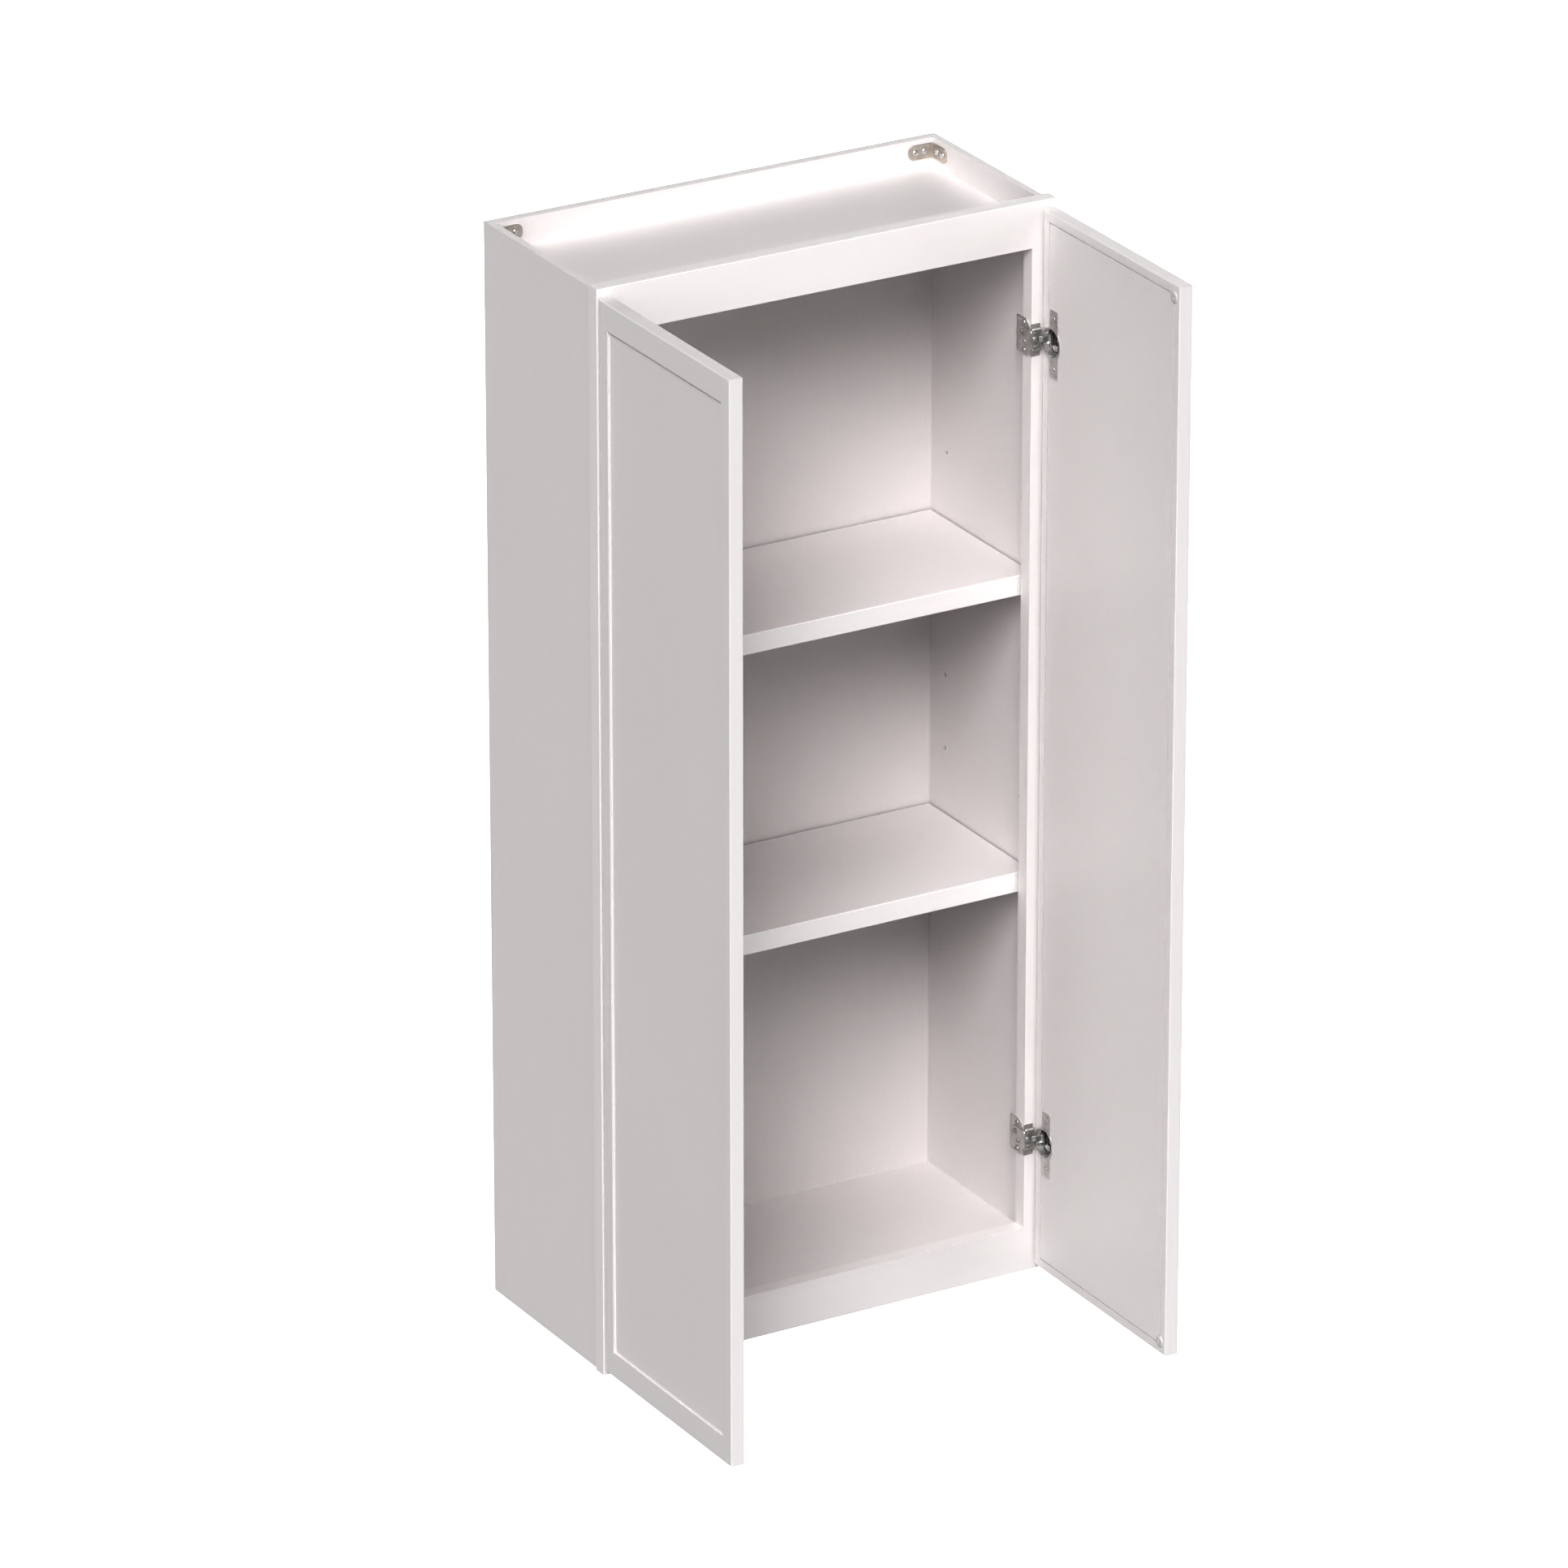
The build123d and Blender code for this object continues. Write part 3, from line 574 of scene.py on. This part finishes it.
bracket_screw = screw(3.6 * mm, 2.1 * mm, 2.0 * mm, 1.7 * mm, 8.8 * mm)
for side, sign in (("left", -1.0), ("right", 1.0)):
    low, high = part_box(f"corner_bracket_{side}")
    wall_y = high.y
    level = (low.z + high.z) / 2
    inwards, forwards, rise = np.moveaxis(strip(
        bracket_path, bracket_tall, bracket_thick, bracket_end, dishes
    ), -1, 0)
    plate_points = np.stack([sign * (wall_x - inwards), wall_y - forwards, level + rise], axis=-1)
    piece(f"tray_bracket_{side}", [shell(plate_points)], nickel, "cabinet", "bracket_nickel",
          f"corner_bracket_{side}")
    shells = []
    sunk = bracket_thick - dish_deep
    for hole in bracket_holes:
        for spot, outward in (
            ((sign * (wall_x - hole), wall_y - sunk, level), (0.0, -1.0, 0.0)),
            ((sign * (wall_x - sunk), wall_y - hole, level), (-sign, 0.0, 0.0)),
        ):
            shells += [shell(stood(rings, spot, outward)) for rings in bracket_screw]
    piece(f"tray_bracket_screws_{side}", shells, zinc, "cabinet", "screw_steel",
          f"corner_bracket_screws_{side}")

# ---------------------------------------------------------------- doors
# Each door is a flat panel in a slim mitre-free frame: the lips of the stiles and rails stand
# proud in front, and behind a fine groove runs round the panel. All is sprayed satin white.
door_light = (0.846, 0.826, 0.825)
door_dark = (0.837, 0.816, 0.815)
door_paint = coated("paint_door", door_light, door_dark, 0.36, 0.00004, (8, 8, 0.4), 0.2)
door_parts = ("stile_hinge", "stile_free", "rail_top", "rail_bottom", "panel")
for side in ("left", "right"):
    dress(door_paint, *(f"door_{side}_{part}" for part in door_parts))

# ---------------------------------------------------------------- bumpers
# A soft clear disc is stuck in each free corner behind a door. It has a flat foot, a low domed
# face and a moulded ring round its middle.


def clear_rubber():
    """Clear elastomer: slightly grey, with dust in the skin and a soft shine."""
    finish = Finish("clear_rubber", transmission_weight=0.2, ior=1.45)
    dust = finish.noise(finish.place(), 900.0, 3.0)
    haze = finish.noise(finish.place(), 250.0, 2.0)
    finish.surface(
        base_color=finish.blend(finish.span(haze, 0.3, 0.7), (0.92, 0.91, 0.90), (0.86, 0.85, 0.84)),
        roughness=0.16 + dust * 0.15,
        normal=finish.bump(dust, 0.00001),
    )
    return finish.material


rubber = clear_rubber()
bumper_radius = 7.0 * mm
bumper_tall = 1.7 * mm
bumper_rings = turned(
    np.array([0.05, 0.2, 0.32, 0.38, 0.44, 0.52, 0.7, 0.84, 0.93, 0.98, 1.0, 0.99]) * bumper_radius,
    np.array([0.80, 0.80, 0.84, 0.98, 1.0, 0.96, 0.90, 0.78, 0.60, 0.38, 0.15, 0.0]) * bumper_tall,
    around=48,
)
for side, sign in (("left", -1.0), ("right", 1.0)):
    low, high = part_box(f"door_{side}_bumpers")
    face_x = min(low.x, high.x, key=lambda x: -abs(x))
    middle_y = (low.y + high.y) / 2
    shells = [
        shell(stood(bumper_rings, (face_x, middle_y, level), (-sign, 0.0, 0.0)))
        for level in (low.z + bumper_radius, high.z - bumper_radius)
    ]
    piece(f"clear_bumpers_{side}", shells, rubber, f"door_{side}", "bumper",
          f"door_{side}_bumpers")

# ---------------------------------------------------------------- hinges
# Each door hangs on two compact hinges of nickel-plated pressed steel. A plate is screwed to the
# inner edge of the stile, and an arm on it reaches round the front into a cup in the door,
# where its roller turns on a pin. The arm's box and neck have a duller plating: it is rougher,
# and its darker colour is painted shade. A spring and a damper in the cup close the door softly.
hinge_steel = plated("hinge_nickel", (0.90, 0.89, 0.88), (0.78, 0.77, 0.76), 0.34, (1.0, 1.0, 4.0))
# Painted shade: this is a darker copy of the hinge nickel on the same arm; the screws in the box and
# plate share it.
shaded_box_steel = plated("shaded_box_nickel", (0.70, 0.69, 0.68), (0.60, 0.59, 0.58), 0.52, (1.0, 1.0, 4.0))
dark_steel = plated("dark_spring_steel", (0.36, 0.355, 0.35), (0.25, 0.25, 0.25), 0.34)
bright_steel = plated("polished_steel", (0.96, 0.96, 0.95), (0.90, 0.90, 0.89), 0.22)


def moulded(name, light, dark):
    """Moulded plastic: even colour with a faint flow pattern and a fine spark-eroded grain."""
    finish = Finish(name, specular_ior_level=0.5)
    flow = finish.noise(finish.place((1.0, 1.0, 0.3)), 150.0, 3.0)
    grain = finish.noise(finish.place(), 4000.0, 1.0)
    finish.surface(
        base_color=finish.blend(flow, light, dark),
        roughness=0.36 + grain * 0.12,
        normal=finish.bump(grain, 0.00001),
    )
    return finish.material


damper_black = moulded("damper_black", (0.110, 0.112, 0.125), (0.085, 0.086, 0.095))
# Painted highlight: the switch's pale blue-white stands for a highlight at the top of the damper.
switch_painted_highlight = moulded("switch_painted_highlight", (0.62, 0.65, 0.76), (0.54, 0.57, 0.68))


def plate(outline, middle, thick, ease, rim=0.0, steps=14):
    """A pressed plate, seen flat, that is star-shaped about its middle. Its rings run out under
    it, round its eased edge and back over the top, where a low rim follows the outline."""
    tangent = np.roll(outline, -1, axis=0) - np.roll(outline, 1, axis=0)
    inward = np.stack([-tangent[:, 1], tangent[:, 0]], axis=-1)
    inward /= np.linalg.norm(inward, axis=1, keepdims=True)
    inward *= np.sign(((middle - outline) * inward).sum(axis=1).mean())
    turn = np.linspace(0.0, np.pi / 2, 4)
    insets = np.concatenate([ease * (1 - np.sin(turn)), ease * (1 - np.cos(turn))])
    heights = np.concatenate([ease * (1 - np.cos(turn)), thick - ease * (1 - np.sin(turn))])
    edge = [outline + inward * inset for inset in insets]
    under = [middle + (edge[0] - middle) * share for share in (0.1, 0.5)]
    shares = np.linspace(1.0, 0.05, steps)
    over = [middle + (edge[-1] - middle) * share for share in shares]
    rise = thick + rim * np.sin(np.pi * np.clip((1.0 - shares) / 0.16, 0.0, 1.0))
    flats = np.array([*under, *edge, *over])
    levels = np.concatenate([[0.0, 0.0], heights, rise])[:, None, None]
    return np.concatenate([flats, np.broadcast_to(levels, (*flats.shape[:2], 1))], axis=-1)


def tube(path, radius, around=12):
    """A round wire along a path of points. Its rings stand square to the path."""
    ahead = np.gradient(path, axis=0)
    ahead /= np.linalg.norm(ahead, axis=1, keepdims=True)
    first = np.cross(ahead, (0.0, 0.0, 1.0))
    first /= np.linalg.norm(first, axis=1, keepdims=True)
    second = np.cross(ahead, first)
    turn = np.linspace(0, 2 * np.pi, around, endpoint=False)[None, :, None]
    ring = first[:, None] * np.cos(turn) + second[:, None] * np.sin(turn)
    return path[:, None] + ring * radius


# Sizes in hinge space: u inwards from the frame's outer edge, v forwards from its face, w up
stile_wide = 33.0 * mm
door_back_u = 19.0 * mm
pivot = np.array([12.2, 8.8]) * mm
cup_v = 23.0 * mm
cup_radius = 17.45 * mm
cup_wall = 0.8 * mm
cup_deep = 12.0 * mm
cup_inside = cup_deep - 1.0 * mm
flange_thick = 1.2 * mm
plate_thick = 1.6 * mm
leg_thick = 1.4 * mm
box_deep = 5.5 * mm
box_near = 21.5 * mm
box_far = stile_wide + plate_thick
box_half = 14.0 * mm
box_lift = 0.2 * mm
rim_tall = 40.0 * mm
rim_drop = 1.5 * mm
rim_lift = 0.1 * mm
leg_tall = 24.0 * mm
neck_tall = 7.0 * mm
neck_thick = 1.9 * mm
roller_radius = 2.2 * mm
roller_half = 6.0 * mm
roller_ease = 0.3 * mm
ear_thick = 2.4 * mm
ear_low = 6.3 * mm
ear_half = 2.3 * mm
depth_screw_u = 31.0 * mm
boss_radius = 4.4 * mm
field_middle = 28.2 * mm
field_half = 6.0 * mm
field_tall = 12.2 * mm
bar_middle = 29.4 * mm
bar_half = 2.6 * mm
bar_lift = 8.2 * mm
bar_tall = 1.5 * mm
cam_spot = np.array([-10.0, -5.0]) * mm
cam_seat_radius = 4.6 * mm
lock_spot = np.array([-17.5, 5.0]) * mm
plate_half = 22.5 * mm
plate_screw_v = -14.0 * mm
plate_screw_lift = 17.0 * mm
cup_screw_x = 5.0 * mm
cup_screw_lift = 31.0 * mm
rim_thick = 0.55 * mm


def smooth(value, low, high):
    """From 0 at low to 1 at high, level at both ends."""
    share = np.clip((value - low) / (high - low), 0.0, 1.0)
    return share * share * (3.0 - 2.0 * share)


def box_relief(along, level):
    """The pressed face of the arm's box: a sunk field inside a rim, a round boss for the depth
    screw, and a small raised bar above and below the boss."""
    u = along + box_near
    field = smooth(field_half - np.abs(u - field_middle), 0.0, 0.7 * mm)
    field = field * smooth(field_tall - np.abs(level), 0.0, 0.8 * mm)
    boss = smooth(boss_radius - np.hypot(u - depth_screw_u, level), 0.0, 0.8 * mm)
    bars = smooth(bar_half - np.abs(u - bar_middle), 0.0, 0.5 * mm)
    bars = bars * smooth(bar_tall - np.abs(np.abs(level) - bar_lift), 0.0, 0.5 * mm)
    ends = smooth(np.abs(level), 12.4 * mm, box_half)
    return (-0.9 * field + 0.9 * boss * field + 0.75 * bars * field - 1.3 * ends) * mm


def leg_relief(along, level):
    """The face of the arm's leg: a raised round seat for the cam, and a sunk slot for the screw
    that locks it."""
    v = 5.0 * mm - along
    seat = smooth(cam_seat_radius - np.hypot(v - cam_spot[0], level - cam_spot[1]), 0.0, 0.7 * mm)
    slot = smooth(3.9 * mm - np.hypot((v + 16.5 * mm) * 0.6, level - 5.0 * mm), 0.0, 0.7 * mm)
    return (0.35 * seat - 0.6 * slot) * mm


def cup_rings():
    """The cup and its winged plate as one pressed skin, in a plan about the cup's middle with
    height up from the door's back: out under the bowl, up its wall, out under the plate, round
    the plate's edge, in over the top to the mouth and down to the floor. The wall is thinned in
    a window on the door-edge side, where the roller swings past."""
    wing = (-3.5 * mm, 14.0 * mm, 42.0 * mm)
    bulge = np.array([19.0, 21.5]) * mm
    cut = -17.6 * mm
    # The bulge is an ellipse with one side cut off straight, and the wings cross it
    wing_meet = bulge[1] * math.sqrt(1.0 - (wing[0] / bulge[0]) ** 2)
    wing_back = bulge[1] * math.sqrt(1.0 - (wing[1] / bulge[0]) ** 2)
    turn = math.acos(cut / bulge[0])
    near = math.acos(wing[0] / bulge[0])
    far = math.acos(wing[1] / bulge[0])
    left = np.linspace(near, turn, 14)[:, None]
    right = np.linspace(-far, far, 30)[:, None]
    side_arc = np.hstack([np.cos(left), np.sin(left)]) * bulge
    back_arc = np.hstack([np.cos(right), np.sin(right)]) * bulge
    top_wing = rounded(
        [(wing[1], wing_back + 1.0 * mm), (wing[1], wing[2]), (wing[0], wing[2]),
         (wing[0], wing_meet + 1.0 * mm)],
        [0.0, 2.0 * mm, 2.0 * mm, 0.0], 0.7 * mm, closed=False,
    )
    edge_side = np.linspace(side_arc[-1], side_arc[-1] * (1.0, -1.0), 26)[1:-1]
    outline = np.concatenate([
        back_arc, top_wing, side_arc, edge_side, side_arc[::-1] * (1.0, -1.0),
        top_wing[::-1] * (1.0, -1.0),
    ])
    toward = outline / np.linalg.norm(outline, axis=1, keepdims=True)
    window = smooth(-toward[:, 0], 0.93, 0.97)
    mouth = cup_radius - cup_wall * (1.0 - 0.8 * window[:, None])

    def ring(reach, height):
        flat = toward * reach
        return np.column_stack([flat, np.full(len(flat), height)])

    def edge(inset, height):
        flat = outline - toward * inset
        return np.column_stack([flat, np.full(len(flat), height)])

    ease = 0.35 * mm
    top = flange_thick
    rings = [ring(share * cup_radius, -cup_deep) for share in (0.1, 0.6, 0.9)]
    rings += [ring(cup_radius * 0.985, -cup_deep + 0.8 * mm), ring(cup_radius, -cup_deep + 2.0 * mm)]
    rings += [ring(cup_radius, -0.02 * mm)]
    rings += [edge(ease, 0.0), edge(0.1 * mm, 0.1 * mm), edge(0.0, ease)]
    rings += [edge(0.0, top - ease), edge(0.1 * mm, top - 0.1 * mm), edge(ease, top)]
    lip = ring(mouth + 0.5 * mm * (1.0 - window[:, None]), top)
    border = edge(ease, top)
    for share in np.linspace(0.0, 1.0, 18)[1:]:
        between = border + (lip - border) * share
        wide = np.abs(between[:, 1]) > 24.0 * mm
        aside = np.abs(between[:, 1]) - cup_screw_lift
        dish = np.hypot(between[:, 0] - cup_screw_x, aside) / (4.6 * mm)
        between[:, 2] -= wide * 0.35 * mm * (0.5 + 0.5 * np.cos(np.pi * np.clip(dish, 0.0, 1.0)))
        rings.append(between)
    rings += [ring(mouth + 0.12 * mm, top - 0.15 * mm), ring(mouth, top - 0.6 * mm)]
    rings += [ring(mouth, -cup_deep + 3.0 * mm), ring(mouth - 0.5 * mm, -cup_deep + 1.6 * mm)]
    rings += [ring(share * mouth, -cup_deep + 1.0 * mm) for share in (0.88, 0.5, 0.1)]
    return np.array(rings)


def in_door(rings):
    """From a plan about the cup's middle, height up from the door's back, to hinge space."""
    x, y, height = np.moveaxis(np.asarray(rings), -1, 0)
    return np.stack([door_back_u + height, cup_v + x, y], axis=-1)


def on_stile(rings):
    """From a plan on the stile's inner edge, height inwards, to hinge space."""
    x, y, height = np.moveaxis(np.asarray(rings), -1, 0)
    return np.stack([stile_wide + height, x, y], axis=-1)


mount_outline = rounded(
    [(-31.0 * mm, -plate_half), (-5.0 * mm, -plate_half), (0.0, -18.0 * mm), (0.0, 14.6 * mm),
     (-10.0 * mm, plate_half), (-31.0 * mm, plate_half)],
    [2.0 * mm] * 6, 0.8 * mm,
)
mounting_plate = on_stile(plate(mount_outline, np.array([-16.0, 0.0]) * mm, plate_thick, 0.4 * mm,
                                0.45 * mm))
leg_path = np.linspace((box_far, 5.0 * mm), (box_far, -24.0 * mm), 60)
arm_leg = strip(leg_path, leg_tall, leg_thick, 4.0 * mm, leg_relief, fine=49)
box_path = np.linspace((box_near, box_lift), (box_far, box_lift), 46)
arm_box = strip(box_path, 2 * box_half, box_deep - box_lift, 1.2 * mm, box_relief, fine=91)
# A thin rim stands out above and below the box, and still clears the cup when the door is shut
rim_path = np.linspace((box_near, rim_lift), (box_far, rim_lift), 30)
arm_rim = strip(rim_path, rim_tall, rim_thick, 1.2 * mm) - (0.0, 0.0, rim_drop)
neck_path = rounded(
    [pivot + (1.0 * mm, -1.0 * mm), np.array([21.6, 7.4]) * mm, np.array([27.0, 3.2]) * mm],
    [0.0, 3.0 * mm, 0.0], 0.5 * mm, closed=False,
)
arm_neck = strip(neck_path[::-1], neck_tall, neck_thick, 0.6 * mm)
roller_flat = roller_half - roller_ease
roller = turned(
    np.array([0.86, 1.0, 1.0, 0.86]) * roller_radius,
    [-roller_half, -roller_flat, roller_flat, roller_half], 40,
)
roller[..., :2] += pivot
pin_rings = turned(
    np.array([0.6, 1.5, 1.8, 1.8, 1.25, 1.25, 1.8, 1.8, 1.5, 0.6]) * mm,
    np.array([-8.1, -8.0, -7.7, -7.3, -7.2, 7.2, 7.3, 7.7, 8.0, 8.1]) * mm, 32,
)
pin_rings[..., :2] += pivot
ear_outline = rounded(
    [(7.9 * mm, -ear_half), (14.9 * mm, -ear_half), (14.9 * mm, ear_half), (7.9 * mm, ear_half)],
    [0.0, 2.2 * mm, 2.2 * mm, 0.0], 0.4 * mm,
)
ear_outline[:, 1] += pivot[1]
ear = plate(ear_outline, np.array([11.0 * mm, pivot[1]]), ear_thick, 0.3 * mm)
ears = [ear + (0.0, 0.0, ear_low), ear * (1.0, 1.0, -1.0) - (0.0, 0.0, ear_low)]
cup = in_door(cup_rings())
# The closing spring is an open ellipse of wire, level inside the cup
spring_sweep = 152.0
spring_middle = -2.0 * mm
spring_reach = np.array([11.3, 12.9]) * mm
spring_level = -5.6 * mm
spring_wire = 0.75 * mm
spring_turn = np.radians(np.linspace(-spring_sweep, spring_sweep, 90))
spring_path = np.column_stack([
    spring_middle + spring_reach[0] * np.cos(spring_turn), spring_reach[1] * np.sin(spring_turn),
    np.full(len(spring_turn), spring_level),
])
closing_spring = in_door(tube(spring_path, spring_wire))
# The damper's housing and base stand on the cup's floor, and its switch lies near the mouth.
# The switch's pale blue-white colour is a painted highlight.
housing_outline = rounded(
    np.array([(10.7, -10.8), (12.0, -10.8), (16.1, -4.4), (16.1, 4.4), (12.0, 10.8), (10.7, 10.8)])
    * mm, [0.5 * mm, 1.5 * mm, 2.5 * mm, 2.5 * mm, 1.5 * mm, 0.5 * mm], 0.5 * mm,
)
housing = in_door(plate(housing_outline, np.array([13.2, 0.0]) * mm, 10.0 * mm, 0.9 * mm)
                  - (0.0, 0.0, cup_inside))
base_outline = rounded(np.array([(-8.8, -7.8), (10.9, -7.8), (10.9, 7.8), (-8.8, 7.8)]) * mm,
                       [1.5 * mm] * 4, 0.8 * mm)
base = in_door(plate(base_outline, np.array([1.0, 0.0]) * mm, 1.0 * mm, 0.3 * mm)
               - (0.0, 0.0, cup_inside))
switch_outline = rounded(np.array([(11.2, 4.6), (14.2, 4.6), (12.9, 8.8), (11.2, 8.8)]) * mm,
                         [0.6 * mm] * 4, 0.4 * mm)
switch = in_door(plate(switch_outline, np.array([12.3, 6.6]) * mm, 1.1 * mm, 0.35 * mm)
                 - (0.0, 0.0, 1.1 * mm))
adjuster = screw(2.8 * mm, 1.0 * mm, 2.3 * mm, 1.4 * mm, 1.1 * mm, crown=8.0)
wood_screw = screw(3.5 * mm, 1.9 * mm, 2.2 * mm, 1.65 * mm, 16.0 * mm)
cup_screw = screw(3.3 * mm, 0.85 * mm, 2.2 * mm, 1.65 * mm, 11.0 * mm, crown=8.0)


def hung(side, place, *parts):
    """Closed shells of parts drawn in hinge space, set at one of the hinges."""
    sign = 1.0 if side == "right" else -1.0
    stile_low, stile_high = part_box(f"frame_stile_{side}")
    edge_x = max(stile_high.x, -stile_low.x)
    low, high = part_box(f"hinge_{side}_{place}_bracket")
    level = (low.z + high.z) / 2
    shells = []
    for rings in parts:
        u, v, w = np.moveaxis(np.asarray(rings), -1, 0)
        points = np.stack([sign * (edge_x - u), stile_low.y - v, level + w], axis=-1)
        shells.append(shell(points))
    return shells


# The adjusting screws: depth in the box's face, then the cam and the lock screw on the leg
adjuster_places = (
    ((depth_screw_u, 5.4 * mm, 0.0), (0.0, 1.0, 0.0)),
    ((36.2 * mm, *cam_spot), (1.0, 0.0, 0.0)),
    ((35.9 * mm, *lock_spot), (1.0, 0.0, 0.0)),
)
adjusters = [
    stood(rings, spot, outward)
    for spot, outward in adjuster_places for rings in adjuster
]
plate_screws = [
    stood(rings, (box_far, plate_screw_v, lift), (1.0, 0.0, 0.0))
    for lift in (-plate_screw_lift, plate_screw_lift) for rings in wood_screw
]
cup_screws = [
    in_door(rings + (cup_screw_x, lift, flange_thick - 0.35 * mm))
    for lift in (-cup_screw_lift, cup_screw_lift) for rings in cup_screw
]
hinge_pieces = (
    # name, parts, material, is it on the door, slot, end of the name of the node it stands for
    ("mounting_plate", [mounting_plate], hinge_steel, False, "hinge_nickel", "bracket"),
    ("hinge_arm", [arm_leg], hinge_steel, False, "hinge_nickel", "arm"),
    ("hinge_box", [arm_box, arm_rim, arm_neck], shaded_box_steel, False, "hinge_nickel", ""),
    ("hinge_roller", [roller], bright_steel, False, "bright_steel", ""),
    ("hinge_cup", [cup], hinge_steel, True, "hinge_nickel", "cup"),
    ("hinge_pin", [pin_rings], bright_steel, True, "bright_steel", "pin"),
    ("hinge_ears", ears, dark_steel, True, "hinge_nickel", ""),
    ("closing_spring", [closing_spring], dark_steel, True, "hinge_nickel", ""),
    ("damper", [housing, base], damper_black, True, "damper", ""),
    ("damper_switch", [switch], switch_painted_highlight, True, "damper", ""),
    ("adjusting_screws", adjusters, shaded_box_steel, False, "screw_steel", "adjusters"),
    ("plate_screws", plate_screws, shaded_box_steel, False, "screw_steel", ""),
    ("cup_screws", cup_screws, zinc, True, "screw_steel", ""),
)
hinges = [(side, place) for side in ("left", "right") for place in ("lower", "upper")]
for side, place in hinges:
    for kind, parts, material, on_door, slot, ending in hinge_pieces:
        body = f"door_{side}" if on_door else "cabinet"
        nodes = [f"hinge_{side}_{place}_{ending}"] if ending else []
        piece(f"{kind}_{side}_{place}", hung(side, place, *parts), material, body, slot, *nodes)

for side in ("left", "right"):
    # The screws and dampers of both hinges on a side are one node each
    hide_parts(f"hinge_mount_screws_{side}")
    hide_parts(f"hinge_cup_screws_{side}")
    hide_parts(f"hinge_dampers_{side}")
